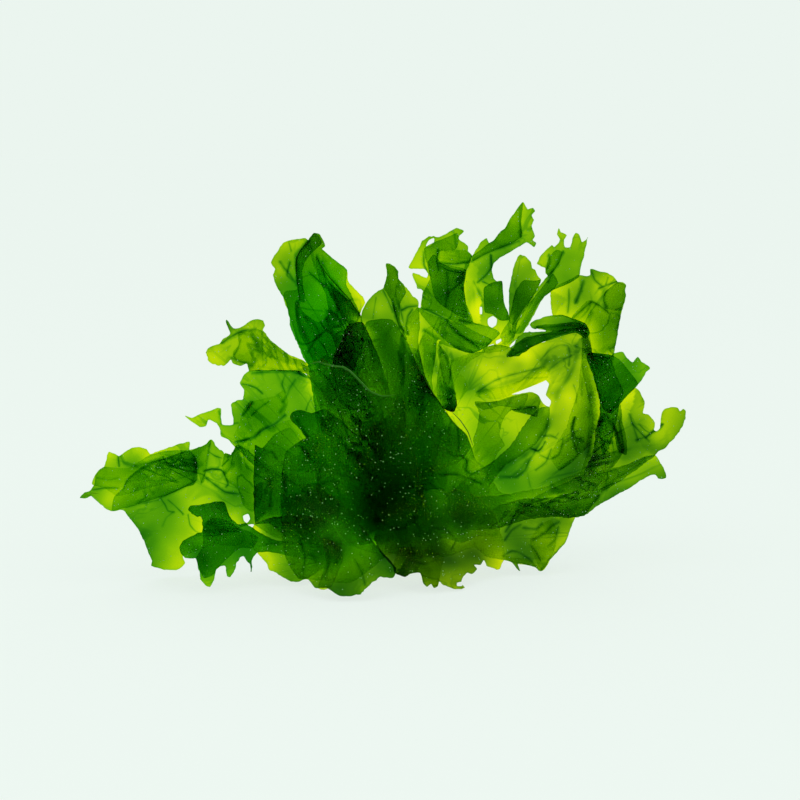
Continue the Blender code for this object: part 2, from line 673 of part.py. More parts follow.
def placed(columns, rows, depths):
    """Points of the drawing, carried along their lines of sight to their depths."""
    ahead, right, up = view_axes()
    eye = np.array(VIEW_CENTRE) - VIEW_DISTANCE * ahead
    across = (columns - MIDDLE_SQUARE) * SQUARE / VIEW_DISTANCE
    raised = (MIDDLE_SQUARE - rows) * SQUARE / VIEW_DISTANCE
    sight = ahead + np.outer(across, right) + np.outer(raised, up)
    reach = (depths - eye[1]) / sight[:, 1]
    return eye + sight * reach[:, None] - np.array(MIDDLE)


def thin_plate(points, columns, rows):
    """Depth, in metres, of the smoothest sheet through a blade's depth points."""
    known = np.array(points, float)
    spots, depths = known[:, :2], known[:, 2] / 1000

    def bend(a, b):
        apart = np.linalg.norm(a[:, None] - b[None], axis=2)
        return apart**2 * np.log(np.maximum(apart, 1e-9))

    flat = np.column_stack([np.ones(len(spots)), spots])
    system = np.block([[bend(spots, spots), flat], [flat.T, np.zeros((3, 3))]])
    weights = np.linalg.solve(system, np.append(depths, np.zeros(3)))
    wanted = np.column_stack([columns, rows])
    found = np.column_stack([bend(wanted, spots), np.ones(len(wanted)), wanted]) @ weights
    return found.clip(depths.min() - OVERSHOOT, depths.max() + OVERSHOOT)


def is_inside(points, outline):
    """Whether each point of the drawing lies inside an outline."""
    edge = np.array(outline, float)
    inside = np.zeros(len(points), bool)
    for start, end in zip(edge, np.roll(edge, -1, axis=0)):
        if start[1] == end[1]:
            continue
        spans = (points[:, 1] < start[1]) != (points[:, 1] < end[1])
        crossing = start[0] + (points[:, 1] - start[1]) * (end[0] - start[0]) / (end[1] - start[1])
        inside ^= spans & (points[:, 0] < crossing)
    return inside


def distance_to(points, outline):
    """Distance in squares from each point to the nearest place on an outline."""
    edge = np.array(outline, float)
    nearest = np.full(len(points), np.inf)
    for start, end in zip(edge, np.roll(edge, -1, axis=0)):
        along = end - start
        share = ((points - start) @ along / max(along @ along, 1e-9)).clip(0, 1)
        nearest = np.minimum(nearest, np.linalg.norm(points - start - share[:, None] * along, axis=1))
    return nearest


def smoothed(field):
    """The lattice values, each averaged with its neighbours."""
    padded = np.pad(field, 1, mode="reflect", reflect_type="odd")
    rows = (padded[:-2] + 2 * padded[1:-1] + padded[2:]) / 4
    return (rows[:, :-2] + 2 * rows[:, 1:-1] + rows[:, 2:]) / 4


def settled_depths():
    """Each blade's depth on the lattice, front to back, clear of the blades before it."""
    columns, rows = np.meshgrid(LATTICE_COLUMNS, LATTICE_ROWS)
    spots = np.column_stack([columns.ravel(), rows.ravel()]).astype(float)
    limit = np.full(columns.shape, -np.inf)
    depths = {}
    for blade in BLADES:
        lying = thin_plate(blade.depths, spots[:, 0], spots[:, 1]).reshape(columns.shape)
        for folded, edge in zip(range(len(blade.folds), -1, -1), blade.folds + [blade.outline]):
            wanted = lying - FOLD_STEP * folded
            field = np.maximum(wanted, limit)
            for _ in range(SMOOTHING_ROUNDS):
                field = np.maximum(smoothed(field), limit)
            field = smoothed(field)
            beyond = distance_to(spots, edge) * ~is_inside(spots, edge)
            step = FOLD_STEP if folded else CLEARANCE
            behind = field + step - EASE_PER_SQUARE * beyond.reshape(columns.shape)
            limit = np.maximum(limit, behind)
        depths[blade.name] = field
    return depths


def depth_at(field, points):
    """A lattice field read at points of the drawing, evenly between lattice points."""
    column = (points[:, 0] - LATTICE_COLUMNS[0]) / LATTICE_STEP
    row = (points[:, 1] - LATTICE_ROWS[0]) / LATTICE_STEP
    i, j = row.astype(int), column.astype(int)
    v, u = row - i, column - j
    near = field[i, j] * (1 - u) + field[i, j + 1] * u
    far = field[i + 1, j] * (1 - u) + field[i + 1, j + 1] * u
    return near * (1 - v) + far * v


def even_outline(outline):
    """An outline with its shortest edges joined and its longest ones divided."""
    kept = [np.array(outline[0], float)]
    for point in np.array(outline[1:], float):
        if np.linalg.norm(point - kept[-1]) >= SHORTEST_EDGE:
            kept.append(point)
    if np.linalg.norm(kept[-1] - kept[0]) < SHORTEST_EDGE:
        kept.pop()
    points = []
    for start, end in zip(kept, kept[1:] + kept[:1]):
        count = math.ceil(np.linalg.norm(end - start) / LONGEST_EDGE)
        points += [start + (end - start) * k / count for k in range(count)]
    return np.array(points)


def inner_points(outline, holes):
    """Points of a triangular grid, the same for every blade, that lie well inside an outline."""
    row_step = INNER_STEP * math.sqrt(3) / 2
    grid = []
    for j, row in enumerate(np.arange(180, 620, row_step)):
        shift = INNER_STEP / 2 * (j % 2)
        grid += [(column, row) for column in np.arange(60 + shift, 710, INNER_STEP)]
    grid = np.array(grid)
    kept = is_inside(grid, outline) & (distance_to(grid, outline) > EDGE_MARGIN)
    for hole in holes:
        kept &= ~is_inside(grid, hole) & (distance_to(grid, hole) > EDGE_MARGIN)
    return grid[kept]


def flat_triangles(outline, holes):
    """The points and triangles of a blade laid flat on the drawing."""
    rims = [even_outline(outline)] + [np.array(hole, float) for hole in holes]
    points, edges = [], []
    for rim in rims:
        first = len(points)
        points += [tuple(point) for point in rim]
        edges += [(first + k, first + (k + 1) % len(rim)) for k in range(len(rim))]
    points += [tuple(point) for point in inner_points(rims[0], holes)]
    found = delaunay_2d_cdt(points, edges, [], 0, 1e-5)
    flat = np.array([tuple(point) for point in found[0]])
    faces = np.array([tuple(face) for face in found[2]])
    centres = flat[faces].mean(axis=1)
    kept = is_inside(centres, rims[0])
    for rim in rims[1:]:
        kept &= ~is_inside(centres, rim)
    return flat, faces[kept]


def blade_finish(name, share):
    """A wet, see-through green, deeper the further back a blade lies."""
    colour = [(1 - share) * light + share * deep for light, deep in zip(YELLOW_GREEN, DEEP_GREEN)]
    finish = bpy.data.materials.new(name)
    finish.use_nodes = True
    finish.diffuse_color = colour
    shader = finish.node_tree.nodes["Principled BSDF"]
    shader.inputs["Base Color"].default_value = colour
    shader.inputs["Roughness"].default_value = ROUGHNESS
    shader.inputs["Metallic"].default_value = 0.0
    shader.inputs["Transmission Weight"].default_value = TRANSMISSION
    return finish


def add_blade(blade, field, finish, collection):
    """One blade: its outline filled with triangles, carried to its depths and given a thickness."""
    flat, faces = flat_triangles(blade.outline, blade.holes)
    spots = placed(flat[:, 0], flat[:, 1], depth_at(field, flat))
    shape = bmesh.new()
    corners = [shape.verts.new(spot) for spot in spots]
    for face in faces:
        shape.faces.new([corners[index] for index in face])
    loose = [corner for corner in corners if not corner.link_faces]
    bmesh.ops.delete(shape, geom=loose, context="VERTS")
    bmesh.ops.recalc_face_normals(shape, faces=shape.faces)
    mesh = bpy.data.meshes.new(blade.name)
    shape.to_mesh(mesh)
    shape.free()
    mesh.materials.append(finish)
    mesh.shade_smooth()
    solid = bpy.data.objects.new(blade.name, mesh)
    collection.objects.link(solid)
    wall = solid.modifiers.new("thickness", "SOLIDIFY")
    wall.thickness = THICKNESS
    wall.offset = 0


def main():
    for old in list(bpy.data.objects):
        bpy.data.objects.remove(old)
    collection = bpy.data.collections.new(COLLECTION)
    bpy.context.scene.collection.children.link(collection)
    depths = settled_depths()
    for order, blade in enumerate(BLADES):
        finish = blade_finish(blade.name, order / len(BLADES))
        add_blade(blade, depths[blade.name], finish, collection)


main()
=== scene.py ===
"""Sea lettuce, the visible model: every blade as a thin, ruffled, see-through sheet with its folds."""

import json
import math
from typing import NamedTuple

import bmesh
import bpy
import numpy as np
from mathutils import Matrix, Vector
from mathutils.geometry import delaunay_2d_cdt

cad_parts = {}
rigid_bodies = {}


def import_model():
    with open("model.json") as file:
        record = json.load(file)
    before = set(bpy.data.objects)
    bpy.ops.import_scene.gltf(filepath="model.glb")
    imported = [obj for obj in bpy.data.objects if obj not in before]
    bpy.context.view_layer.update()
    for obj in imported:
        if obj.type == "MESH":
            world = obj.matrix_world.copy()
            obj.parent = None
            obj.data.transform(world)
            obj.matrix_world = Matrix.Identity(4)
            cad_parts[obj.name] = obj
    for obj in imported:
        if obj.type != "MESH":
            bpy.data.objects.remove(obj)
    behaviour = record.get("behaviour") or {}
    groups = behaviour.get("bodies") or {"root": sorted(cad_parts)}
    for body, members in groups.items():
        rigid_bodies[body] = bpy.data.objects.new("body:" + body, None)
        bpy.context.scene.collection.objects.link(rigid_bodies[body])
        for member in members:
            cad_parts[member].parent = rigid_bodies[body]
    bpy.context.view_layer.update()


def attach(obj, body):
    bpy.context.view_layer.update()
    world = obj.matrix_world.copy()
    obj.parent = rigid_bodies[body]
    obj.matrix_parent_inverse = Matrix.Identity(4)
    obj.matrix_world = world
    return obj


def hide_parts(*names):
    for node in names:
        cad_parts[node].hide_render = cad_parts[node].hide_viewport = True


bl_info = {
    "name": "Sea Lettuce",
    "version": (1, 0, 0),
    "blender": (4, 5, 0),
    "location": "View3D > Sidebar > Sea Lettuce",
    "description": "Builds a clump of sea lettuce: ruffled blades, bright specks and stage",
    "category": "Add Mesh",
}

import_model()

# The front view that the outlines are set out on: 800 by 800 squares of 0.3 mm, seen from a little
# above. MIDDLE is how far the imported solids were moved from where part.py sets them out.
SQUARE = 0.0003
VIEW_DISTANCE = 0.667
VIEW_TILT = math.radians(8)
MIDDLE = np.array([0.0001, -0.0025, -0.00145])
VIEW_CENTRE = np.array([0.0048, 0.0, 0.050]) - MIDDLE
MIDDLE_SQUARE = 400
LENS = 100.0
SENSOR = 36.0

# Where the blades run together, in squares
HEART = np.array([400.0, 545.0])

# How the blades lie on each other, in metres, the same as in the solids
CLEARANCE = 0.002
FOLD_STEP = 0.0009
OVERSHOOT = 0.002
EASE_PER_SQUARE = 0.00035
SMOOTHING_ROUNDS = 10
LATTICE_STEP = 8
LATTICE_COLUMNS = np.arange(56, 713, LATTICE_STEP)
LATTICE_ROWS = np.arange(176, 617, LATTICE_STEP)

# The room that a blade has for its ruffles, in metres
ROOM_PER_SQUARE = 0.00012
LEAST_ROOM = 0.0006
MOST_ROOM = 0.006

# The fine mesh, in squares
RIM_STEP = 1.3
INNER_STEP = 2.0
INNER_MARGIN = 1.3
CREASE_SIDE = 1.1
CREASE_GAP = 0.8
SMOOTH_PULL = 0.5
MERGE_GAP = 1e-4
TINY = 1e-9
POINTS_AT_ONCE = 2000
NOISE_CELLS = 64

# The teeth of the margins: two waves, and patches where they are deeper
TOOTH_LENGTH = 4.3
SMALL_TOOTH_LENGTH = 2.1
SMALL_TOOTH = 0.6
TOOTH_PATCH = 40
LEAST_TOOTH = 0.35
FOLD_TOOTH = 0.5

# The ruffles of the margins, the swell of a whole blade and the pleats that fan out from the heart.
# Sizes are in squares. A ruffle's waves are pairs of a length and a height.
RUFFLE_REACH = 9.0
RUFFLE_ROOM = 0.4
RUFFLE_WAVES = ((41.0, 1.0), (23.0, 0.7), (13.0, 0.3))
SWELL_SIZE = 52.0
SWELL_ROOM = 0.3
PLEATS = 14.0
PLEAT_LENGTH = 45
PLEAT_BEND = 1.2
PLEAT_BEND_SIZE = 30
PLEAT_PATCH = 60
PLEAT_PATCH_LEVEL = 0.6
LEAST_PLEAT = 0.35
PLEAT_RADIUS = 120
BARE_HEART = 0.5

# The seed of a blade is its place in the list times SEED_STEP, and these are added to it
SEED_STEP = 100
SWELL_SEED = 7
PLEAT_SEED = 9
BEND_SEED = 11
PATCH_SEED = 13
FOLD_SEED = 50
SPECK_SEED = 7

# The tones: painted shade along fold lines, painted shade at the rim's edge, painted shade where a sheet
# turns away from the front view, and how a rim fades where blades before it hide it
LEAST_TONE = 0.05
FINE_CREASE = 2.5
CREASE_RELIEF = 0.0002
CREASE_PAINTED_SHADE = 1.35
CREASE_LEVEL = 0.75
CREASE_VARIES = 0.45
CREASE_PATCH = 7
LINE_WIDTH = 0.75
RIM_WIDTH = 1.2
RIM_PAINTED_SHADE = 0.12
# The least facing share used for the painted shade of sheets turned away from the front view
SLANT_LIMIT = 0.6
EVENING_ROUNDS = 6
SEEN_THROUGH = 0.4
FADE_ROUNDS = 12
FADE_WIDTH = 15.0
FADED_SHARE = 0.92
SOFT_FOLD_DEPTH = 5.0

# The finish of the blades
LEAF_GREEN = math.exp(-1.0)
LEAF_BLUE = 0.003
LEAF_IOR = 1.1
VEIN_GROWTH = 0.8
SHARP_ANGLE = math.radians(55)

# The rolled margins and the bright specks
RIDGE_SIDES = 6
RIDGE_LIFT = 0.6
RIDGE_TIP = 0.15
RIDGE_MIDDLE = 0.85
RIDGE_BULGE = 0.6
RIDGE_COLOUR = (0.022, 0.15, 0.004)
RIDGE_ROUGHNESS = 0.4
LEAST_SPECK = 0.45
SPECK_SPREAD = 1.5
SPECK_COLOUR = (0.32, 0.55, 0.30)
SPECK_ROUGHNESS = 0.5

# The stage. A soft light is its name, place, size in metres and power in watts.
FLOOR_SIZE = 8.0
LIGHT_TARGET = Vector((0.0, 0.0, 0.05))
SOFT_LIGHTS = (
    ("soft light left", (-0.5, -0.5, 0.7), 0.8, 1.2),
    ("soft light right", (0.6, -0.4, 0.4), 0.8, 0.5),
)
LAYER_BOUNCES = 48


class Blade(NamedTuple):
    """One blade: outline, depths, holes and folds, much as in the solids, and what dresses it."""

    name: str
    outline: list
    depths: list
    holes: list = []
    folds: list = []
    fold_tones: list = []
    tones: list = []
    bites: list = []
    bite: float = 2.05
    creases: list = []
    soft_folds: tuple = ()
    ridges: list = []


# The blades, nearest the viewer first, in columns and rows of the front view. A depth is in
# millimetres, less being nearer. A tone says how much light a spot takes up: 0.3 is a thin pale
# margin, 1.5 a dark fold; the tone spots hold the blade's own thickness and also painted shade, as
# under flaps and along folds. A bite says how many times more red than green is taken up, at spots
# or by the whole blade. A crease is its half width, its strength and its line: it is pressed in a
# little and darkened with painted shade, and a crease whose strength is below zero is lightened with
# a painted highlight instead. A ridge, a rolled margin that catches the light, is its half width and
# its line. Folds are pieces folded over, the nearest first: fold_tones has one tone for each, None
# where it is left out, and soft_folds numbers those whose edge fades over the blade.
BLADES = []


def lay_out(name, **parts):
    """Set down the next blade, behind those before it."""
    BLADES.append(Blade(name, **parts))


lay_out(
    "front_bottom_blade",
    outline=[(299, 579), (308, 579), (315, 588), (326, 588), (340, 596), (350, 596), (361, 594), (369, 585),
        (380, 577), (393, 578), (396, 568), (385, 555), (372, 540), (362, 525), (350, 510), (335, 497),
        (315, 490), (300, 497), (287, 510), (281, 530), (284, 552), (291, 568)],
    depths=[(345, 596, -45), (300, 575, -33), (390, 572, -38), (335, 497, -30), (285, 520, -27),
        (350, 550, -44)],
    folds=[[(322, 538), (332, 540), (342, 548), (343, 560), (338, 572), (332, 586), (324, 590), (318, 588),
         (322, 575), (326, 560), (324, 548)]],
    creases=[(1.5, 0.6, [(325, 577), (329, 562), (326, 545)]),
        (3.0, 0.8, [(330, 542), (336, 547), (340, 555), (336, 562)]),
        (1.5, 0.6, [(300, 540), (305, 556), (303, 570)]),
        (1.4, 0.5, [(355, 560), (362, 572), (365, 585)])],
    fold_tones=[0.25],
    tones=[(330, 530, 0.3), (370, 530, 0.9), (395, 545, 1.6), (390, 557, 2.2), (385, 572, 1.4),
        (365, 570, 1.2), (345, 586, 1.7), (372, 588, 0.6), (340, 565, 0.7), (325, 580, 1.0),
        (310, 560, 0.4), (300, 510, 0.3), (385, 535, 1.6), (388, 548, 2.4), (335, 550, 1.2),
        (334, 545, 1.2), (370, 545, 0.5)],
    bite=1.9,
)
lay_out(
    "fringe_blade",
    outline=[(393, 567), (395, 573), (405, 577), (410, 574), (420, 573), (423, 583), (427, 587), (431, 584),
        (434, 588), (438, 586), (439, 582), (444, 585), (450, 588), (456, 589), (465, 588), (461, 583),
        (464, 576), (467, 573), (472, 574), (477, 569), (474, 565), (480, 565), (484, 560), (487, 566),
        (493, 568), (497, 570), (500, 569), (502, 563), (505, 558), (503, 540), (495, 515), (478, 497),
        (450, 488), (422, 494), (400, 505), (384, 520), (374, 538), (380, 552), (388, 561)],
    depths=[(427, 588, -36), (458, 588, -36), (497, 570, -13), (395, 570, -30), (450, 490, -22),
        (395, 530, -24), (500, 530, -12)],
    holes=[[(457, 583), (463, 582), (462, 586), (457, 586)]],
    folds=[[(393, 567), (395, 573), (405, 577), (410, 574), (420, 573), (423, 583), (427, 587), (431, 584),
         (434, 588), (438, 586), (441, 570), (443, 556), (425, 548), (400, 548)]],
    creases=[(1.3, 0.6, [(424, 536), (434, 528), (446, 530), (456, 540), (452, 548)]),
        (1.3, 0.5, [(410, 560), (424, 564), (436, 560)])],
    fold_tones=[0.5],
    soft_folds=(0,),
    tones=[(400, 550, 3.2), (415, 570, 1.6), (430, 560, 1.6), (430, 584, 0.6), (450, 560, 1.9),
        (450, 582, 0.8), (468, 565, 1.0), (470, 545, 1.1), (450, 520, 0.6), (420, 515, 0.5),
        (490, 540, 0.7), (400, 520, 0.6), (495, 525, 0.6), (450, 495, 0.05), (420, 500, 0.05),
        (480, 505, 0.05), (400, 515, 0.1), (500, 530, 0.2), (430, 510, 0.05), (415, 550, 3.0),
        (415, 552, 3.0), (425, 548, 2.6), (410, 540, 2.4), (390, 550, 3.2), (430, 552, 3.0),
        (430, 570, 1.6), (380, 545, 2.2), (385, 530, 0.8), (450, 545, 1.0), (470, 555, 1.4),
        (450, 575, 0.9)],
    bite=1.6,
)
lay_out(
    "lower_right_band",
    outline=[(655, 455), (658, 458), (661, 464), (664, 468), (666, 477), (663, 479), (658, 478), (656, 475),
        (650, 476), (640, 481), (630, 488), (620, 493), (612, 498), (600, 504), (590, 512), (585, 516),
        (572, 518), (550, 517), (525, 520), (500, 528), (470, 530), (450, 515), (470, 498), (500, 495),
        (530, 490), (548, 486), (560, 480), (580, 472), (605, 470), (628, 464), (645, 456)],
    depths=[(662, 472, -12), (655, 456, -10), (590, 510, -8), (550, 490, -4), (460, 515, -15)],
    holes=[[(548, 497), (553, 494), (557, 495), (555, 499), (549, 500)]],
    folds=[[(655, 455), (640, 462), (628, 469), (618, 477), (608, 485), (600, 495), (592, 506), (585, 515),
         (572, 517), (550, 515), (530, 517), (515, 510), (530, 500), (548, 490), (562, 484), (580, 475),
         (605, 472), (628, 464), (645, 457)],
        [(600, 495), (592, 506), (585, 515), (572, 517), (555, 514), (540, 505), (550, 500), (565, 494),
         (580, 498)]],
    creases=[(1.6, 0.7, [(645, 461), (630, 470), (615, 480), (605, 490), (592, 505), (580, 515)]),
        (1.4, 0.7, [(520, 503), (535, 507), (548, 507)]),
        (3, -0.4, [(549, 498), (555, 495)])],
    fold_tones=[0.35, 0.35],
    tones=[(650, 470, 0.8), (610, 497, 1.2), (630, 480, 0.8), (600, 480, 0.5), (580, 500, 0.9),
        (560, 505, 0.6), (520, 505, 0.35), (480, 500, 0.35), (460, 520, 0.5), (550, 510, 0.9),
        (570, 508, 1.1), (510, 508, 0.35), (530, 505, 0.3), (510, 505, 0.25), (500, 495, 0.4)],
    bite=1.95,
)
lay_out(
    "lower_right_blade",
    outline=[(542, 571), (550, 560), (558, 551), (565, 543), (569, 534), (572, 525), (576, 514), (560, 500),
        (530, 498), (500, 505), (480, 518), (470, 540), (485, 556), (503, 560), (511, 562), (517, 569),
        (520, 571), (518, 564), (527, 565), (535, 567), (539, 571)],
    depths=[(541, 571, -13), (575, 515, 2), (480, 540, -15), (510, 563, -12), (530, 500, 0)],
    folds=[[(542, 571), (550, 560), (556, 545), (556, 528), (550, 520), (538, 528), (530, 540), (534, 555)],
        [(503, 556), (515, 558), (530, 560), (540, 570), (535, 567), (527, 565), (518, 564), (511, 562)]],
    creases=[(1.4, 0.8, [(503, 556), (512, 551), (520, 553), (532, 561)]),
        (1.4, 0.9, [(505, 540), (512, 530), (520, 525)]),
        (1.6, 0.8, [(533, 540), (545, 533), (552, 526), (559, 522)]),
        (1.5, 0.6, [(558, 528), (555, 540), (548, 546)]),
        (1.2, 0.6, [(530, 545), (536, 552), (540, 560)]),
        (1.3, 0.6, [(515, 520), (522, 512), (530, 508)]),
        (1.6, 1.0, [(524, 528), (536, 529), (542, 524)]),
        (1.3, 0.5, [(541, 570), (550, 560), (560, 549), (568, 538)]),
        (1.5, 0.8, [(506, 531), (510, 525), (516, 513), (525, 512)])],
    fold_tones=[0.25, 0.3],
    soft_folds=(0, 1),
    tones=[(510, 540, 1.5), (530, 528, 1.1), (530, 545, 1.3), (545, 540, 0.7), (560, 530, 0.9),
        (510, 555, 1.2), (530, 558, 1.3), (548, 558, 0.6), (490, 530, 0.6), (567, 522, 0.9),
        (480, 515, 0.4), (550, 515, 1.6), (545, 530, 1.0), (550, 530, 1.3)],
    bite=1.8,
)
lay_out(
    "dark_right_lobe",
    outline=[(587, 354), (612, 355), (613, 353), (623, 352), (627, 358), (633, 362), (638, 357), (641, 362),
        (645, 364), (650, 368), (646, 373), (641, 381), (635, 388), (628, 395), (620, 404), (616, 425),
        (610, 445), (603, 455), (599, 430), (600, 402), (593, 375)],
    depths=[(590, 355, 2), (648, 368, -14), (612, 400, -6), (605, 450, 2)],
    folds=[[(587, 354), (612, 355), (620, 360), (630, 372), (638, 384), (628, 395), (620, 404), (612, 414),
         (604, 410), (600, 400), (593, 375)],
        [(590, 357), (610, 357), (616, 375), (624, 392), (618, 404), (610, 412), (604, 410), (600, 400),
         (594, 375)]],
    fold_tones=[0.5, 0.35],
    tones=[(600, 380, 0.6), (630, 368, 0.8), (640, 372, 0.7), (610, 420, 0.7), (595, 400, 1.0),
        (610, 395, 1.0), (590, 410, 1.6), (610, 430, 0.5)],
    bite=2.3,
)
lay_out(
    "right_lobe_blade",
    outline=[(620, 404), (625, 397), (630, 392), (635, 388), (640, 391), (644, 400), (645, 405), (643, 413),
        (648, 414), (652, 418), (655, 423), (654, 430), (657, 431), (660, 428), (661, 420), (662, 413),
        (665, 409), (672, 407), (678, 408), (680, 411), (683, 409), (686, 411), (685, 420), (682, 427),
        (677, 435), (672, 441), (665, 448), (660, 451), (655, 456), (640, 467), (625, 478), (605, 490),
        (580, 500), (565, 495), (580, 478), (592, 455), (596, 430), (600, 415), (610, 410)],
    depths=[(682, 410, -24), (636, 390, -2), (655, 455, -8), (600, 425, 4), (570, 495, 4), (655, 425, -6)],
    folds=[[(598, 425), (604, 412), (612, 408), (618, 415), (622, 430), (624, 450), (615, 465), (600, 475),
         (588, 480), (594, 455)],
        [(612, 408), (620, 404), (622, 420), (627, 440), (626, 455), (618, 450), (614, 430)]],
    creases=[(1.4, 0.6, [(605, 412), (598, 425), (592, 440)]),
        (1.5, -0.3, [(606, 418), (604, 430), (600, 440)]),
        (1.5, 0.8, [(608, 420), (615, 428), (618, 440), (620, 452)]),
        (2, 0.8, [(620, 412), (621, 430), (624, 448)]),
        (1.3, 0.6, [(612, 440), (614, 452)]),
        (1.3, 0.5, [(630, 415), (634, 428), (638, 440)]),
        (1.4, 0.9, [(637, 440), (645, 437), (655, 431), (662, 425)]),
        (1.0, 0.5, [(640, 425), (645, 430), (650, 433)]),
        (3, 0.8, [(590, 445), (590, 470)]),
        (1.5, 0.5, [(605, 440), (604, 460)]),
        (1.9, 1.2, [(607, 415), (614, 426), (620, 441), (623, 452)]),
        (1.6, 0.8, [(600, 418), (597, 438), (590, 452)]),
        (1.3, 0.6, [(632, 423), (640, 432), (649, 441)]),
        (1.3, 0.6, [(646, 438), (652, 432), (658, 428)])],
    fold_tones=[0.45, 0.5],
    tones=[(632, 400, 0.5), (648, 418, 0.4), (672, 412, 0.35), (680, 425, 0.5), (655, 440, 0.5),
        (630, 430, 1.1), (650, 450, 1.2), (625, 455, 1.3), (600, 440, 0.7), (590, 465, 0.8),
        (580, 490, 0.5), (610, 435, 0.3), (605, 450, 0.4), (610, 450, 0.4), (610, 470, 0.9)],
    bite=1.85,
)
lay_out(
    "star_blade",
    outline=[(188, 510), (190, 506), (200, 505), (210, 503), (224, 502), (229, 515), (238, 524), (246, 523),
        (256, 530), (275, 540), (300, 542), (322, 545), (318, 560), (290, 556), (270, 552), (257, 553),
        (252, 560), (251, 572), (250, 564), (247, 561), (244, 557), (240, 558), (237, 562), (234, 571),
        (230, 577), (227, 576), (225, 566), (219, 567), (216, 570), (214, 580), (210, 587), (206, 586),
        (200, 580), (199, 572), (197, 563), (195, 559), (185, 558), (181, 554), (179, 547), (183, 541),
        (190, 537), (197, 533), (202, 532), (203, 525), (202, 517), (197, 517), (191, 514)],
    depths=[(208, 587, -34), (188, 508, -24), (182, 548, -31), (230, 577, -26), (250, 535, -30),
        (320, 550, -20)],
    folds=[[(203, 525), (212, 518), (225, 520), (240, 528), (250, 532), (258, 538), (252, 548), (240, 548),
         (228, 558), (219, 567), (212, 575), (204, 578), (198, 565), (196, 558), (203, 545)],
        [(210, 503), (224, 502), (229, 515), (235, 525), (246, 535), (240, 545), (222, 545), (208, 540),
         (204, 528), (212, 515)]],
    fold_tones=[0.45, 0.35],
    soft_folds=(1,),
    tones=[(205, 510, 1.2), (190, 508, 1.1), (187, 545, 1.1), (210, 540, 1.3), (232, 532, 1.1),
        (240, 540, 1.5), (235, 570, 0.8), (212, 575, 0.9), (205, 583, 0.45), (225, 555, 1.2),
        (252, 555, 1.2), (265, 535, 1.3), (290, 520, 0.8), (280, 545, 0.9), (252, 540, 1.3),
        (210, 550, 1.4), (210, 520, 1.3), (225, 530, 1.4)],
    bite=2.5,
)
lay_out(
    "bottom_left_strip",
    outline=[(253, 549), (257, 553), (262, 558), (266, 563), (270, 570), (280, 575), (290, 581), (298, 582),
        (310, 577), (330, 563), (342, 545), (330, 522), (300, 515), (270, 518), (256, 523), (250, 532)],
    depths=[(290, 581, -27), (254, 545, -20), (340, 545, -15), (300, 520, -14)],
    tones=[(262, 545, 0.3), (272, 560, 0.35), (290, 572, 1.1), (285, 560, 0.9), (300, 545, 0.5),
        (310, 570, 0.6), (330, 570, 0.5), (270, 532, 1.3), (285, 532, 1.6), (258, 526, 0.3),
        (290, 550, 0.8)],
)
lay_out(
    "pocket_blade",
    outline=[(300, 362), (306, 366), (315, 360), (322, 358), (333, 366), (343, 366), (350, 370), (360, 380),
        (370, 392), (380, 396), (392, 397), (400, 393), (405, 402), (408, 430), (420, 470), (428, 520),
        (415, 548), (385, 555), (350, 545), (325, 510), (314, 465), (318, 430), (328, 412), (326, 400),
        (320, 391), (310, 380)],
    depths=[(322, 358, -30), (392, 397, -34), (304, 366, -20), (345, 420, -36), (410, 470, -26),
        (360, 540, -20)],
    folds=[[(313, 385), (320, 391), (327, 400), (328, 410), (335, 418), (350, 422), (370, 421), (383, 420),
         (393, 410), (398, 396), (404, 402), (406, 425), (400, 445), (375, 440), (345, 440), (322, 432),
         (322, 415)]],
    creases=[(1.3, -0.2, [(309, 364), (320, 360), (332, 366), (350, 369), (362, 380), (372, 390),
         (385, 395), (395, 394)]),
        (1.8, 0.6, [(362, 494), (374, 500), (386, 508)]),
        (1.5, 0.5, [(395, 470), (410, 480), (425, 500)]),
        (1.5, 0.5, [(340, 400), (352, 408), (366, 410)])],
    ridges=[(1.0, [(310, 364), (318, 362), (326, 364), (334, 366), (343, 367), (350, 371), (360, 381),
         (370, 391), (382, 396), (395, 395)])],
    fold_tones=[0.35],
    tones=[(330, 380, 0.6), (350, 400, 1.2), (330, 430, 0.15), (370, 450, 0.3), (400, 500, 0.8),
        (360, 530, 0.5), (350, 375, 0.4), (385, 405, 0.5), (330, 375, 0.4), (405, 410, 0.1),
        (410, 440, 0.05), (418, 470, 0.05), (424, 500, 0.05), (420, 530, 0.1), (390, 440, 0.6),
        (395, 470, 0.7), (350, 450, 0.2), (350, 405, 1.2), (350, 490, 0.7), (335, 440, 0.2),
        (370, 470, 0.3), (310, 490, 0.3), (350, 350, 0.3), (330, 370, 0.3), (350, 370, 0.3)],
)
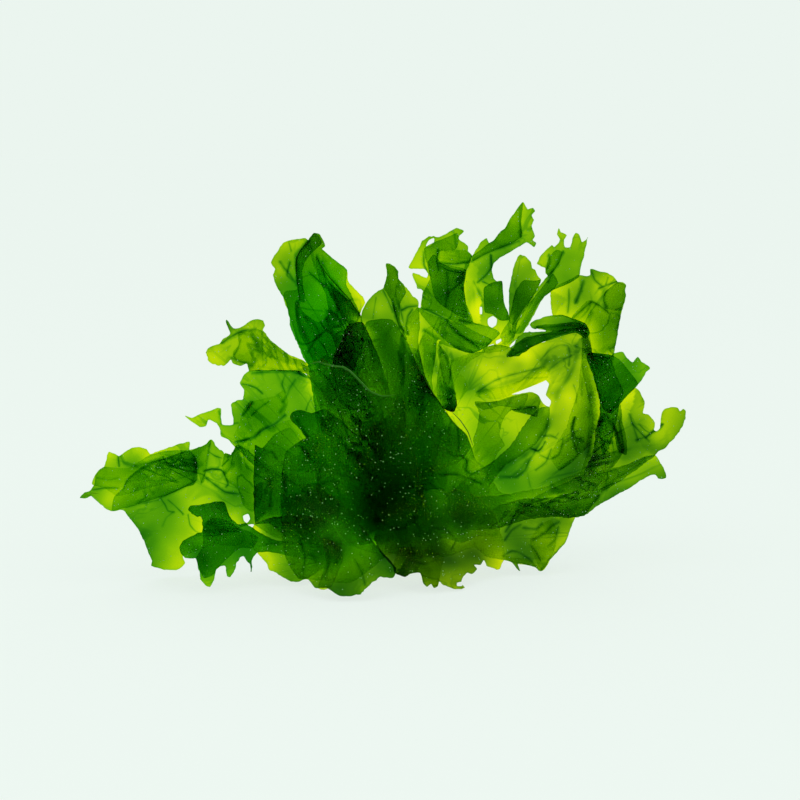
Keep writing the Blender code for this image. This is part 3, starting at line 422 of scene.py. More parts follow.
lay_out(
    "olive_blade",
    outline=[(290, 418), (292, 412), (300, 410), (312, 413), (325, 409), (340, 420), (360, 440), (380, 480),
        (390, 520), (385, 556), (350, 583), (320, 580), (300, 578), (286, 560), (281, 520), (281, 480),
        (286, 452), (300, 441), (306, 438), (298, 427)],
    depths=[(300, 411, -26), (340, 425, -24), (385, 520, -14), (300, 576, -28), (282, 490, -22),
        (350, 580, -26)],
    folds=[[(281, 480), (286, 452), (300, 441), (306, 438), (320, 450), (335, 480), (340, 520), (330, 550),
         (310, 565), (292, 560), (282, 530)]],
    creases=[(1.4, 0.5, [(284, 480), (284, 510), (286, 540)]),
        (2.2, 0.6, [(283, 470), (286, 490), (288, 510), (292, 530)]),
        (1.6, 0.7, [(300, 446), (305, 452), (309, 458)]),
        (1.5, 0.5, [(320, 470), (318, 490), (322, 510), (320, 526)]),
        (1.4, 0.5, [(335, 480), (340, 500), (337, 520)])],
    fold_tones=[0.25],
    soft_folds=(0,),
    tones=[(300, 450, 0.4), (290, 500, 0.45), (320, 480, 0.4), (340, 500, 1.0), (310, 530, 0.7),
        (330, 555, 0.8), (350, 540, 0.9), (350, 560, 0.5), (375, 540, 0.9), (370, 560, 0.7),
        (330, 530, 0.6), (300, 530, 0.8), (350, 500, 0.9), (370, 500, 0.9), (284, 470, 0.05),
        (284, 520, 0.1), (288, 450, 0.1), (286, 540, 0.4), (370, 530, 1.2), (303, 450, 1.0),
        (290, 530, 0.8), (284, 495, 0.05), (292, 510, 0.3), (300, 500, 0.6)],
    bite=2.5,
)
lay_out(
    "square_blade",
    outline=[(255, 523), (255, 445), (262, 448), (275, 434), (290, 428), (303, 443), (325, 455), (345, 475),
        (360, 510), (350, 542), (322, 548), (300, 546), (285, 536), (270, 524)],
    depths=[(255, 523, -16), (255, 447, -24), (290, 430, -16), (355, 520, -8), (300, 545, -14)],
    folds=[[(262, 470), (280, 462), (300, 455), (325, 465), (342, 490), (350, 520), (330, 540), (300, 540),
         (280, 526), (280, 495), (270, 490)]],
    creases=[(1.5, 0.7, [(262, 446), (266, 452), (272, 452), (276, 458)]),
        (1.5, 0.5, [(268, 470), (271, 490), (270, 510)])],
    fold_tones=[0.3],
    soft_folds=(0,),
    tones=[(262, 440, 0.7), (258, 480, 0.9), (258, 520, 1.3), (270, 460, 1.0), (275, 500, 1.5),
        (300, 470, 0.6), (330, 480, 0.5), (340, 520, 0.2), (275, 520, 1.6), (280, 540, 1.3),
        (256, 470, 1.3), (256, 490, 1.2), (270, 530, 1.5), (290, 530, 1.5), (285, 480, 1.3)],
    bite=2.3,
)
lay_out(
    "small_pocket_blade",
    outline=[(331, 366), (335, 352), (340, 342), (345, 330), (349, 324), (362, 322), (368, 332), (380, 360),
        (392, 400), (396, 440), (392, 480), (365, 495), (340, 465), (328, 420), (326, 390)],
    depths=[(355, 322, -26), (333, 360, -20), (395, 440, -14), (350, 470, -12)],
    folds=[[(335, 352), (340, 342), (345, 330), (349, 324), (362, 322), (365, 335), (362, 352), (355, 364),
         (343, 366), (333, 364)]],
    ridges=[(0.5, [(332, 364), (335, 354), (341, 341), (347, 329), (352, 324), (362, 323)])],
    fold_tones=[0.6],
    tones=[(352, 345, 1.6), (360, 400, 0.6), (345, 365, 1.2), (360, 440, 0.25), (385, 400, 0.3),
        (360, 375, 0.8), (330, 420, 0.1)],
)
lay_out(
    "crown_blade",
    outline=[(366, 322), (372, 320), (385, 319), (393, 320), (400, 330), (408, 343), (415, 360), (428, 385),
        (437, 398), (445, 410), (456, 425), (466, 434), (471, 446), (476, 460), (487, 470), (490, 490),
        (489, 515), (484, 540), (450, 556), (410, 558), (370, 545), (352, 500), (348, 450), (352, 400),
        (359, 360)],
    depths=[(380, 320, -16), (408, 345, -14), (470, 445, -22), (488, 500, -10), (355, 440, -8),
        (420, 550, -6)],
    folds=[[(398, 372), (415, 362), (428, 385), (437, 398), (445, 410), (456, 425), (466, 434), (471, 446),
         (462, 460), (440, 470), (420, 480), (395, 470), (390, 430)]],
    creases=[(2, 0.5, [(402, 335), (406, 350), (415, 365), (424, 380)]),
        (1.5, 0.9, [(448, 452), (455, 456), (462, 456), (467, 462), (466, 470), (472, 474), (478, 471)]),
        (1.4, 0.7, [(440, 475), (455, 474), (468, 478), (482, 484)]),
        (1.6, 0.5, [(398, 352), (404, 368), (402, 384)])],
    ridges=[(0.5, [(452, 412), (460, 420), (468, 432), (473, 446)])],
    fold_tones=[0.3],
    soft_folds=(0,),
    tones=[(430, 375, 1.6), (440, 400, 1.5), (450, 420, 0.6), (420, 350, 0.6), (410, 345, 0.5),
        (380, 345, 0.8), (370, 370, 0.2), (380, 420, 0.7), (400, 460, 0.8), (430, 450, 1.2),
        (460, 450, 1.1), (440, 490, 0.9), (420, 530, 0.5), (470, 500, 0.4), (460, 540, 0.4),
        (410, 385, 0.6), (390, 360, 0.8), (450, 430, 1.4), (478, 465, 0.05), (488, 480, 0.05),
        (488, 510, 0.05), (482, 535, 0.05), (420, 500, 1.0), (410, 470, 1.2), (372, 330, 0.7),
        (430, 390, 1.9), (462, 468, 0.5), (390, 450, 1.1)],
    bite=2.15,
)
lay_out(
    "strand_blade",
    outline=[(540, 408), (549, 407), (549, 420), (545, 432), (535, 445), (520, 456), (505, 466), (494, 480),
        (478, 500), (460, 510), (450, 495), (470, 475), (486, 466), (497, 458), (508, 448), (516, 438),
        (522, 428), (530, 418)],
    depths=[(545, 408, -2), (520, 450, -4), (460, 500, 0)],
    tones=[(545, 410, 0.5), (535, 430, 0.5), (515, 445, 0.8), (500, 465, 0.8), (470, 500, 0.5)],
)
lay_out(
    "small_right_leaf",
    outline=[(475, 402), (488, 402), (500, 400), (515, 395), (530, 392), (538, 395), (541, 401), (539, 406),
        (537, 417), (530, 415), (512, 410), (503, 420), (500, 435), (505, 445), (498, 452), (494, 462),
        (486, 474), (470, 480), (462, 465), (474, 445), (473, 440), (478, 425), (479, 412)],
    depths=[(538, 398, 0), (478, 404, 4), (490, 450, 2), (468, 475, 4)],
    folds=[[(476, 404), (500, 401), (515, 396), (528, 394), (522, 408), (500, 406), (484, 410)],
        [(512, 410), (524, 408), (536, 406), (537, 417), (530, 415)]],
    creases=[(1.3, 0.9, [(512, 411), (524, 407), (538, 408)])],
    fold_tones=[0.4, 0.8],
    tones=[(480, 404, 0.5), (510, 400, 0.4), (530, 398, 0.3), (535, 412, 0.8), (500, 420, 0.3),
        (490, 450, 0.35), (510, 440, 0.3)],
    bite=1.9,
)
lay_out(
    "pointed_blade",
    outline=[(361, 315), (366, 303), (372, 296), (378, 291), (383, 288), (387, 275), (386, 264), (390, 264),
        (395, 267), (398, 271), (398, 278), (403, 284), (408, 290), (414, 297), (418, 300), (419, 310),
        (420, 325), (418, 342), (425, 375), (440, 410), (452, 450), (440, 500), (415, 535), (390, 515),
        (375, 470), (366, 420), (364, 370), (361, 340)],
    depths=[(390, 266, -12), (362, 318, -6), (418, 302, -2), (440, 440, -4), (372, 450, -2), (415, 530, 0)],
    folds=[[(387, 275), (386, 264), (390, 264), (395, 267), (398, 271), (398, 278), (403, 284), (406, 292),
         (400, 304), (400, 320), (407, 340), (401, 335), (396, 318), (391, 300), (384, 289)],
        [(361, 340), (375, 322), (385, 330), (400, 345), (418, 350), (425, 375), (430, 400), (410, 430),
         (380, 430), (364, 400)]],
    creases=[(1.6, 1.2, [(392, 300), (395, 312), (399, 325), (407, 334)]),
        (1.2, 0.5, [(398, 300), (401, 312), (404, 324)]),
        (1.3, 1.0, [(402, 310), (408, 307), (416, 306)]),
        (1.3, 0.9, [(412, 310), (408, 316), (406, 326), (408, 333)]),
        (1.2, 0.5, [(383, 290), (388, 300), (392, 310)]),
        (1.0, 0.4, [(376, 298), (374, 310), (373, 318)])],
    fold_tones=[0.6, 0.4],
    soft_folds=(1,),
    tones=[(368, 300, 0.8), (378, 310, 0.6), (372, 320, 0.9), (388, 290, 0.7), (408, 300, 0.5),
        (412, 315, 0.7), (405, 330, 0.4), (395, 325, 0.9), (385, 335, 0.9), (400, 350, 0.8),
        (410, 365, 1.1), (375, 345, 0.9), (380, 400, 0.35), (400, 480, 0.3), (390, 270, 0.4)],
    bite=2.0,
)
lay_out(
    "tall_blade",
    outline=[(271, 262), (278, 250), (283, 243), (287, 241), (297, 239), (305, 238), (308, 240), (314, 233),
        (319, 234), (323, 240), (325, 246), (322, 249), (330, 256), (340, 264), (347, 270), (348, 281),
        (355, 289), (363, 297), (365, 303), (360, 314), (366, 335), (385, 380), (398, 440), (396, 500),
        (380, 535), (350, 520), (330, 480), (318, 430), (312, 390), (308, 366), (300, 350), (295, 338),
        (290, 325), (288, 310), (285, 300), (280, 292), (276, 285), (273, 275), (275, 269)],
    depths=[(300, 240, -24), (272, 262, -12), (360, 312, -8), (320, 320, -18), (310, 365, -8),
        (390, 480, 6)],
    folds=[[(309, 240), (302, 248), (296, 257), (295, 270), (297, 284), (299, 300), (305, 302), (303, 285),
         (302, 272), (305, 262), (311, 254), (318, 247), (322, 243), (319, 236), (314, 233)],
        [(316, 256), (322, 268), (330, 283), (343, 295), (350, 301), (360, 314), (366, 335), (380, 370),
         (370, 400), (340, 400), (318, 372), (306, 345), (300, 335), (296, 318), (296, 300), (303, 312),
         (318, 322), (328, 315), (326, 296), (318, 276)],
        [(308, 240), (314, 233), (319, 234), (323, 240), (325, 246), (322, 249), (330, 256), (340, 264),
         (347, 270), (346, 284), (353, 298), (360, 314), (366, 335), (385, 380), (390, 430), (385, 480),
         (355, 490), (335, 455), (322, 410), (309, 366), (297, 340), (289, 314), (283, 297), (286, 291),
         (297, 289), (296, 272), (296, 258), (300, 250)]],
    creases=[(1.5, 0.6, [(317, 256), (321, 266), (326, 276), (333, 287), (343, 296)]),
        (2, 0.8, [(297, 285), (297, 270), (296, 255), (302, 248), (309, 240)]),
        (1.3, 0.7, [(290, 262), (287, 275), (292, 280)]),
        (1.5, 0.6, [(280, 262), (284, 268), (288, 272), (294, 281)]),
        (1, 0.5, [(289, 243), (291, 250)]),
        (2, 0.8, [(299, 300), (297, 310), (299, 322), (305, 335), (309, 345)]),
        (1.2, 0.8, [(310, 273), (318, 280), (324, 286)]),
        (1.2, 0.4, [(303, 308), (312, 310), (322, 311)]),
        (1.4, 0.6, [(306, 318), (315, 325), (320, 335)]),
        (1.5, 0.5, [(330, 310), (334, 320)]),
        (2.5, 0.8, [(325, 285), (332, 292), (338, 303), (337, 315)]),
        (3, 0.6, [(335, 290), (345, 300), (352, 308), (358, 314)]),
        (1.5, 0.7, [(318, 335), (312, 345), (308, 352)]),
        (1.3, 0.5, [(322, 262), (330, 276), (340, 288)])],
    ridges=[(0.5, [(316, 257), (322, 267), (330, 278), (341, 290), (350, 300), (361, 318)]),
        (0.5, [(309, 241), (300, 250), (296, 262), (297, 280), (300, 300)])],
    fold_tones=[0.5, 0.4, 0.4],
    tones=[(285, 255, 0.5), (282, 270, 0.5), (290, 285, 1.1), (285, 262, 0.6), (292, 310, 0.9),
        (300, 330, 0.9), (320, 290, 0.4), (340, 290, 0.35), (352, 298, 0.25), (340, 310, 0.6),
        (320, 330, 0.8), (330, 350, 0.9), (310, 345, 1.0), (315, 245, 0.35), (340, 400, 0.3),
        (370, 450, 0.2), (360, 500, 0.2), (350, 278, 0.05), (330, 270, 0.4), (350, 320, 0.4)],
    bites=[(280, 255, 2.0), (283, 275, 2.1), (300, 300, 2.9), (320, 300, 3.2), (350, 298, 2.2),
        (340, 280, 2.8), (310, 340, 3.2), (330, 340, 2.9), (315, 240, 2.0), (295, 320, 2.9),
        (340, 400, 2.3)],
)
lay_out(
    "left_sheet_blade",
    outline=[(249, 371), (244, 375), (240, 383), (244, 390), (243, 399), (240, 400), (231, 404), (233, 424),
        (222, 424), (221, 409), (217, 408), (207, 412), (200, 414), (192, 418), (185, 416), (195, 424),
        (200, 427), (206, 426), (208, 420), (211, 420), (217, 424), (220, 430), (221, 436), (228, 439),
        (231, 443), (236, 448), (250, 462), (285, 482), (325, 490), (352, 470), (345, 430), (330, 405),
        (320, 390), (312, 378), (300, 371), (280, 370), (262, 370)],
    depths=[(185, 416, -18), (242, 385, -10), (310, 376, -2), (235, 438, -12), (285, 425, -4),
        (345, 465, 8)],
    folds=[[(250, 402), (262, 399), (275, 396), (284, 390), (288, 402), (284, 413), (262, 430), (248, 440),
         (238, 442), (234, 436), (239, 424), (244, 408)],
        [(236, 441), (250, 440), (270, 428), (290, 420), (310, 430), (330, 450), (340, 470), (310, 482),
         (280, 478), (250, 462)]],
    creases=[(1.2, 0.7, [(242, 384), (248, 385), (256, 388), (262, 393)]),
        (1.2, 0.6, [(285, 375), (282, 384), (285, 392)]),
        (1.6, 0.5, [(295, 380), (290, 388), (287, 395), (283, 402)]),
        (1, 0.7, [(318, 392), (312, 397), (308, 404), (306, 410)]),
        (1.6, 0.9, [(252, 402), (248, 408), (243, 415)]),
        (1.2, 0.6, [(268, 402), (258, 409), (252, 415)]),
        (2.5, 0.5, [(278, 395), (285, 405), (280, 412)]),
        (1.6, 1.2, [(236, 442), (245, 440), (254, 437), (262, 430), (275, 424), (285, 415)]),
        (1.5, 0.6, [(252, 373), (270, 372), (290, 372), (305, 375)]),
        (1, 0.8, [(298, 372), (303, 376), (309, 378)]),
        (1.6, 0.8, [(297, 420), (303, 430), (308, 438)]),
        (1.2, 0.5, [(222, 423), (230, 424), (238, 423)]),
        (1.2, 0.5, [(219, 412), (221, 420)])],
    fold_tones=[0.2, 0.3],
    soft_folds=(0, 1),
    tones=[(250, 375, 0.5), (280, 375, 0.8), (300, 375, 0.85), (250, 395, 0.65), (280, 400, 0.75),
        (315, 395, 0.85), (235, 405, 0.5), (245, 420, 0.8), (230, 435, 0.5), (190, 418, 0.3),
        (215, 420, 0.35), (270, 425, 0.9), (290, 410, 0.8), (310, 415, 0.9), (270, 440, 0.6),
        (300, 450, 0.4), (330, 440, 0.2), (318, 430, 0.25)],
    bite=2.35,
)
lay_out(
    "upper_left_blade",
    outline=[(206, 352), (208, 348), (214, 345), (219, 344), (223, 339), (230, 334), (226, 320), (233, 328),
        (239, 328), (243, 326), (250, 321), (258, 319), (263, 321), (265, 326), (263, 330), (266, 334),
        (270, 340), (280, 348), (288, 354), (293, 358), (304, 361), (325, 375), (350, 402), (368, 440),
        (360, 475), (335, 455), (318, 420), (313, 390), (311, 377), (300, 372), (280, 371), (253, 371),
        (249, 371), (247, 364), (240, 366), (232, 363), (231, 360), (225, 365), (219, 366), (213, 364),
        (208, 359)],
    depths=[(206, 354, -20), (255, 320, -4), (250, 370, -16), (300, 362, -4), (360, 440, 8)],
    folds=[[(238, 333), (247, 331), (256, 329), (263, 331), (270, 340), (288, 354), (304, 361), (309, 371),
         (300, 372), (280, 371), (253, 371), (249, 371), (247, 364), (240, 362), (234, 358), (233, 352),
         (239, 345)]],
    creases=[(1.4, 0.6, [(222, 343), (232, 336), (242, 331), (255, 329)]),
        (1.2, 0.7, [(240, 341), (238, 348), (234, 355)]),
        (3, 0.5, [(252, 334), (257, 345), (260, 358)]),
        (1.2, 0.4, [(262, 333), (262, 345), (263, 365)]),
        (1.8, 0.4, [(249, 365), (262, 367), (280, 370), (300, 370)]),
        (1.5, 0.5, [(232, 358), (240, 362), (248, 363)]),
        (1.2, 0.5, [(226, 322), (230, 330)]),
        (1.2, 0.3, [(265, 338), (278, 350), (290, 360)])],
    fold_tones=[0.3],
    soft_folds=(0,),
    tones=[(215, 355, 0.25), (232, 340, 0.4), (232, 352, 0.45), (245, 325, 0.35), (258, 322, 0.4),
        (228, 328, 0.65), (250, 350, 0.35), (268, 345, 0.3), (290, 360, 0.4), (265, 365, 0.6),
        (300, 368, 0.5), (320, 380, 0.5), (340, 400, 0.3)],
    bite=2.0,
)
lay_out(
    "left_blade",
    outline=[(80, 498), (84, 493), (90, 491), (94, 484), (95, 475), (98, 471), (104, 467), (107, 457),
        (109, 452), (119, 456), (125, 452), (132, 448), (140, 447), (146, 449), (150, 454), (160, 450),
        (172, 446), (189, 442), (190, 450), (200, 447), (206, 444), (211, 440), (216, 446), (225, 453),
        (231, 455), (237, 445), (248, 450), (268, 470), (295, 500), (318, 530), (300, 545), (270, 535),
        (252, 524), (240, 528), (215, 545), (183, 556), (185, 563), (182, 567), (176, 570), (165, 570),
        (158, 568), (151, 566), (152, 561), (150, 556), (146, 546), (140, 533), (130, 519), (123, 510),
        (110, 511), (100, 504), (91, 496), (85, 498)],
    depths=[(80, 497, -26), (120, 456, -30), (110, 510, -30), (165, 570, -14), (205, 445, -22),
        (200, 500, -12), (300, 530, 4)],
    holes=[[(243, 516), (248, 514), (250, 519), (247, 523), (244, 521)]],
    folds=[[(114, 497), (123, 488), (128, 478), (140, 468), (150, 462), (165, 458), (182, 452), (190, 451),
         (196, 458), (197, 470), (197, 479), (193, 485), (185, 487), (175, 492), (165, 496), (155, 499),
         (145, 502), (130, 507), (120, 509), (112, 511)],
        [(92, 484), (95, 475), (98, 471), (104, 467), (117, 468), (128, 468), (148, 456), (165, 451),
         (189, 450), (200, 447), (206, 444), (211, 440), (210, 446), (207, 460), (204, 482), (201, 483),
         (198, 474), (190, 476), (165, 484), (140, 490), (118, 496), (104, 488)],
        [(225, 453), (231, 455), (237, 445), (248, 450), (260, 464), (262, 500), (252, 512), (243, 505),
         (238, 490), (226, 480), (222, 466)]],
    creases=[(1.2, 1.3, [(204, 471), (212, 469), (221, 470), (224, 473)]),
        (1, 0.5, [(209, 452), (215, 456), (221, 458)]),
        (1, 0.8, [(228, 457), (234, 452), (238, 449)]),
        (1, 0.6, [(222, 466), (228, 460)]),
        (1.2, 0.8, [(224, 474), (228, 484), (226, 487)]),
        (1.4, 0.8, [(206, 478), (215, 485), (225, 492), (238, 494)]),
        (1, 0.6, [(161, 499), (165, 505), (168, 511), (173, 512)]),
        (1, 0.4, [(168, 500), (175, 506), (182, 513)]),
        (1, 0.5, [(188, 515), (190, 525), (195, 531), (199, 533)]),
        (1.2, 0.3, [(163, 525), (166, 518), (172, 513)]),
        (2, 0.5, [(120, 455), (124, 463), (135, 466), (148, 463), (160, 459)]),
        (1.2, 0.8, [(118, 457), (119, 466)]),
        (1.2, 0.7, [(92, 490), (105, 488), (118, 488)]),
        (1.2, 0.3, [(98, 478), (108, 480), (118, 478)]),
        (1.2, 0.5, [(123, 490), (127, 480), (140, 470), (160, 460)]),
        (1.2, 0.9, [(163, 458), (168, 464), (176, 468)]),
        (2.5, 0.8, [(194, 457), (196, 468), (193, 480)]),
        (1.3, 0.4, [(158, 500), (145, 503), (126, 508)]),
        (1.2, 0.5, [(160, 498), (180, 489), (197, 480)]),
        (1.2, 0.4, [(201, 483), (206, 470), (208, 455), (210, 445)])],
    fold_tones=[0.45, 0.4, 0.45],
    soft_folds=(1, 2),
    tones=[(112, 458, 0.35), (137, 455, 0.45), (135, 464, 0.8), (100, 475, 0.5), (100, 492, 0.7),
        (108, 500, 0.4), (112, 508, 0.6), (130, 508, 0.75), (150, 515, 0.75), (165, 500, 0.9),
        (150, 545, 0.8), (148, 530, 0.85), (172, 520, 0.6), (172, 550, 0.4), (185, 540, 0.45),
        (185, 500, 0.45), (198, 485, 0.4), (215, 485, 0.5), (218, 460, 0.5), (170, 455, 0.3),
        (185, 445, 0.3), (150, 480, 0.2), (175, 475, 0.2), (192, 470, 0.8), (200, 450, 0.5),
        (232, 470, 0.5), (232, 500, 1.2), (245, 520, 1.0), (250, 480, 0.9), (265, 500, 0.5),
        (300, 500, 0.25), (250, 470, 1.5), (248, 485, 1.0), (216, 526, 0.05), (208, 531, 0.05),
        (226, 522, 0.1), (205, 522, 0.15), (150, 465, 0.15), (130, 480, 0.4), (218, 480, 0.5),
        (130, 470, 0.9), (112, 475, 0.7)],
    bite=2.25,
)
lay_out(
    "curled_blade",
    outline=[(409, 268), (412, 260), (418, 250), (422, 241), (428, 237), (434, 236), (440, 237), (450, 231),
        (457, 228), (464, 231), (460, 235), (459, 239), (463, 242), (468, 246), (468, 251), (472, 256),
        (467, 270), (464, 285), (466, 303), (473, 322), (488, 326), (500, 333), (494, 340), (486, 347),
        (473, 353), (465, 352), (455, 348), (447, 342), (438, 340), (436, 355), (432, 380), (436, 410),
        (440, 450), (428, 490), (408, 470), (404, 430), (408, 400), (412, 360), (407, 343), (403, 335),
        (406, 322), (412, 313), (418, 308), (421, 306), (423, 291), (418, 288), (414, 281), (413, 273),
        (422, 276), (427, 278), (428, 273), (424, 269)],
    depths=[(412, 262, -10), (457, 228, -12), (467, 285, -6), (500, 335, 2), (420, 310, -2), (430, 340, 2),
        (425, 450, 6)],
    holes=[[(426, 246), (429, 240), (434, 238), (434, 242), (430, 246)]],
    folds=[[(424, 249), (430, 244), (440, 240), (450, 236), (457, 233), (459, 239), (455, 250), (440, 251),
         (438, 262), (452, 266), (466, 270), (464, 285), (466, 303), (473, 322), (460, 325), (448, 318),
         (436, 312), (421, 308), (424, 291), (430, 278), (428, 268)],
        [(428, 262), (434, 254), (440, 262), (452, 268), (464, 272), (463, 286), (464, 303), (468, 318),
         (452, 312), (436, 300), (432, 286)],
        [(418, 308), (430, 314), (447, 320), (465, 326), (480, 334), (492, 340), (486, 347), (473, 353),
         (465, 352), (455, 348), (447, 342), (440, 335), (430, 325)]],
    creases=[(1.4, 0.9, [(440, 263), (455, 264), (468, 262), (478, 259)]),
        (1.2, 0.9, [(440, 266), (448, 270), (456, 272), (462, 272)]),
        (1.4, 0.8, [(438, 250), (437, 262), (439, 270)]),
        (1.4, 0.6, [(424, 252), (424, 265), (430, 275)]),
        (1.2, 0.8, [(462, 288), (468, 297), (467, 305)]),
        (1.5, 0.8, [(460, 320), (472, 323), (487, 323)]),
        (1.5, 0.8, [(421, 308), (432, 312), (447, 320)]),
        (1.6, 0.7, [(447, 320), (452, 330), (465, 338), (480, 344), (495, 344)]),
        (2, 0.6, [(424, 330), (436, 338), (443, 350)]),
        (1.5, 0.6, [(435, 345), (434, 360), (438, 375)]),
        (1.5, 0.5, [(448, 352), (458, 357), (470, 356)]),
        (1.6, 0.8, [(447, 273), (448, 290), (446, 306)]),
        (1.5, 0.8, [(450, 325), (465, 338), (478, 347)]),
        (1.3, 0.9, [(464, 287), (468, 292), (465, 300)])],
    fold_tones=[0.35, 0.5, 0.35],
    tones=[(410, 262, 0.3), (415, 285, 0.4), (428, 285, 0.45), (440, 290, 0.8), (455, 290, 0.9),
        (450, 310, 0.7), (470, 318, 0.4), (480, 330, 0.4), (430, 330, 0.5), (450, 345, 0.6),
        (440, 400, 0.5), (440, 450, 0.4), (430, 265, 0.25), (430, 275, 0.15)],
    bite=2.15,
)
lay_out(
    "vertical_leaf",
    outline=[(424, 334), (436, 342), (441, 346), (448, 356), (452, 372), (455, 390), (457, 404), (453, 412),
        (446, 410), (437, 402), (428, 392), (420, 375), (416, 355)],
    depths=[(438, 343, 8), (455, 405, 2), (436, 395, 4)],
    folds=[[(438, 345), (446, 356), (451, 372), (454, 392), (450, 400), (444, 385), (440, 365)]],
    fold_tones=[0.4],
    tones=[(445, 360, 0.3), (450, 390, 0.8), (440, 350, 0.3), (430, 370, 1.9), (425, 360, 1.6),
        (430, 380, 1.5), (440, 360, 0.5), (448, 390, 0.8), (434, 392, 3.4)],
)
lay_out(
    "upper_middle_blade",
    outline=[(472, 256), (476, 250), (480, 243), (483, 240), (487, 238), (489, 243), (494, 240), (500, 232),
        (505, 228), (510, 219), (515, 212), (520, 205), (523, 202), (528, 209), (533, 208), (535, 211),
        (532, 215), (534, 220), (532, 226), (535, 236), (533, 240), (536, 243), (534, 247), (527, 242),
        (520, 246), (510, 252), (500, 258), (494, 263), (492, 270), (494, 278), (498, 282), (502, 281),
        (503, 290), (504, 303), (508, 312), (510, 318), (511, 330), (514, 340), (506, 350), (490, 353),
        (465, 352), (440, 345), (430, 370), (425, 410), (408, 410), (410, 370), (425, 330), (450, 316),
        (458, 300), (460, 280), (464, 264), (440, 263), (438, 250), (450, 250), (465, 250)],
    depths=[(523, 203, -20), (480, 243, -10), (505, 255, -8), (495, 300, 6), (440, 256, -2), (508, 345, 8),
        (415, 405, 10)],
    holes=[[(488, 319), (493, 316), (497, 319), (496, 325), (491, 328), (488, 324)],
        [(480, 307), (482, 307), (482, 314), (480, 314)],
        [(496, 341), (504, 338), (504, 342), (497, 345)],
        [(488, 346), (494, 344), (493, 348), (488, 349)]],
    folds=[[(472, 256), (480, 250), (489, 243), (494, 240), (500, 232), (505, 228), (510, 219), (515, 212),
         (520, 205), (523, 202), (521, 222), (522, 236), (510, 244), (495, 250), (482, 256), (473, 261)],
        [(484, 288), (491, 283), (502, 281), (503, 290), (504, 303), (508, 312), (509, 320), (500, 320),
         (492, 314), (485, 312)]],
    creases=[(1.3, 0.8, [(491, 256), (491, 268), (485, 276), (478, 282)]),
        (1.4, 0.7, [(474, 282), (478, 290), (482, 300)]),
        (1, 0.6, [(484, 282), (490, 285)]),
        (1, 0.6, [(452, 252), (445, 251)]),
        (1, 0.8, [(455, 244), (460, 248)]),
        (1.5, 0.5, [(472, 261), (490, 252), (505, 246), (519, 241)]),
        (1.2, 0.4, [(520, 208), (520, 222), (521, 238)])],
    fold_tones=[0.4, 0.6],
    tones=[(425, 245, 0.3), (455, 245, 0.35), (455, 257, 0.3), (470, 262, 0.45), (530, 220, 0.4),
        (530, 240, 0.45), (515, 225, 0.3), (495, 245, 0.6), (515, 245, 0.6), (485, 262, 0.6),
        (485, 275, 0.8), (475, 285, 0.3), (468, 300, 0.75), (474, 312, 0.4), (490, 305, 0.7),
        (500, 290, 0.7), (495, 318, 0.4), (480, 330, 0.35), (440, 300, 0.4), (430, 280, 0.25),
        (440, 380, 0.4), (430, 270, 0.15), (495, 290, 0.5), (467, 265, 0.65), (465, 280, 0.8),
        (474, 318, 0.6)],
    bite=2.15,
)
lay_out(
    "narrow_blade",
    outline=[(520, 255), (525, 256), (531, 262), (532, 268), (535, 270), (538, 276), (541, 280), (536, 292),
        (526, 308), (518, 322), (514, 338), (505, 345), (500, 336), (509, 320), (509, 305), (509, 290),
        (511, 280), (513, 270), (517, 258)],
    depths=[(524, 255, -6), (510, 300, 2), (540, 280, -2), (505, 340, 6)],
    folds=[[(512, 306), (516, 290), (524, 280), (533, 281), (541, 280), (533, 296), (521, 313), (513, 325),
         (509, 320)]],
    fold_tones=[0.6],
    tones=[(520, 262, 0.45), (515, 275, 0.8), (530, 272, 0.8), (538, 278, 0.5), (513, 295, 1.0),
        (525, 290, 0.9), (530, 300, 0.9), (515, 315, 0.9), (515, 330, 0.6)],
    bite=2.0,
)
lay_out(
    "dark_fold_blade",
    outline=[(530, 325), (535, 320), (545, 317), (555, 315), (563, 315), (572, 318), (585, 323), (590, 332),
        (586, 338), (576, 333), (565, 335), (550, 340), (535, 345), (520, 355), (506, 358), (510, 350),
        (516, 340), (524, 333), (546, 331), (543, 329), (535, 329)],
    depths=[(530, 325, -6), (508, 355, -2), (588, 330, 2)],
    folds=[[(510, 352), (517, 343), (526, 337), (547, 333), (565, 329), (586, 328), (586, 336), (576, 331),
         (560, 335), (545, 341), (530, 348), (518, 354), (508, 357)],
        [(536, 327), (556, 324), (575, 322), (588, 328), (580, 330), (556, 331)]],
    creases=[(1.6, 0.6, [(535, 328), (550, 327), (570, 325), (586, 329)]),
        (1.2, 0.4, [(515, 345), (540, 335), (565, 333), (583, 331)])],
    fold_tones=[0.6, 0.5],
    tones=[(540, 322, 0.7), (560, 320, 0.8), (575, 325, 1.2), (530, 345, 1.2), (515, 352, 1.0),
        (560, 333, 1.3), (545, 342, 1.3)],
)
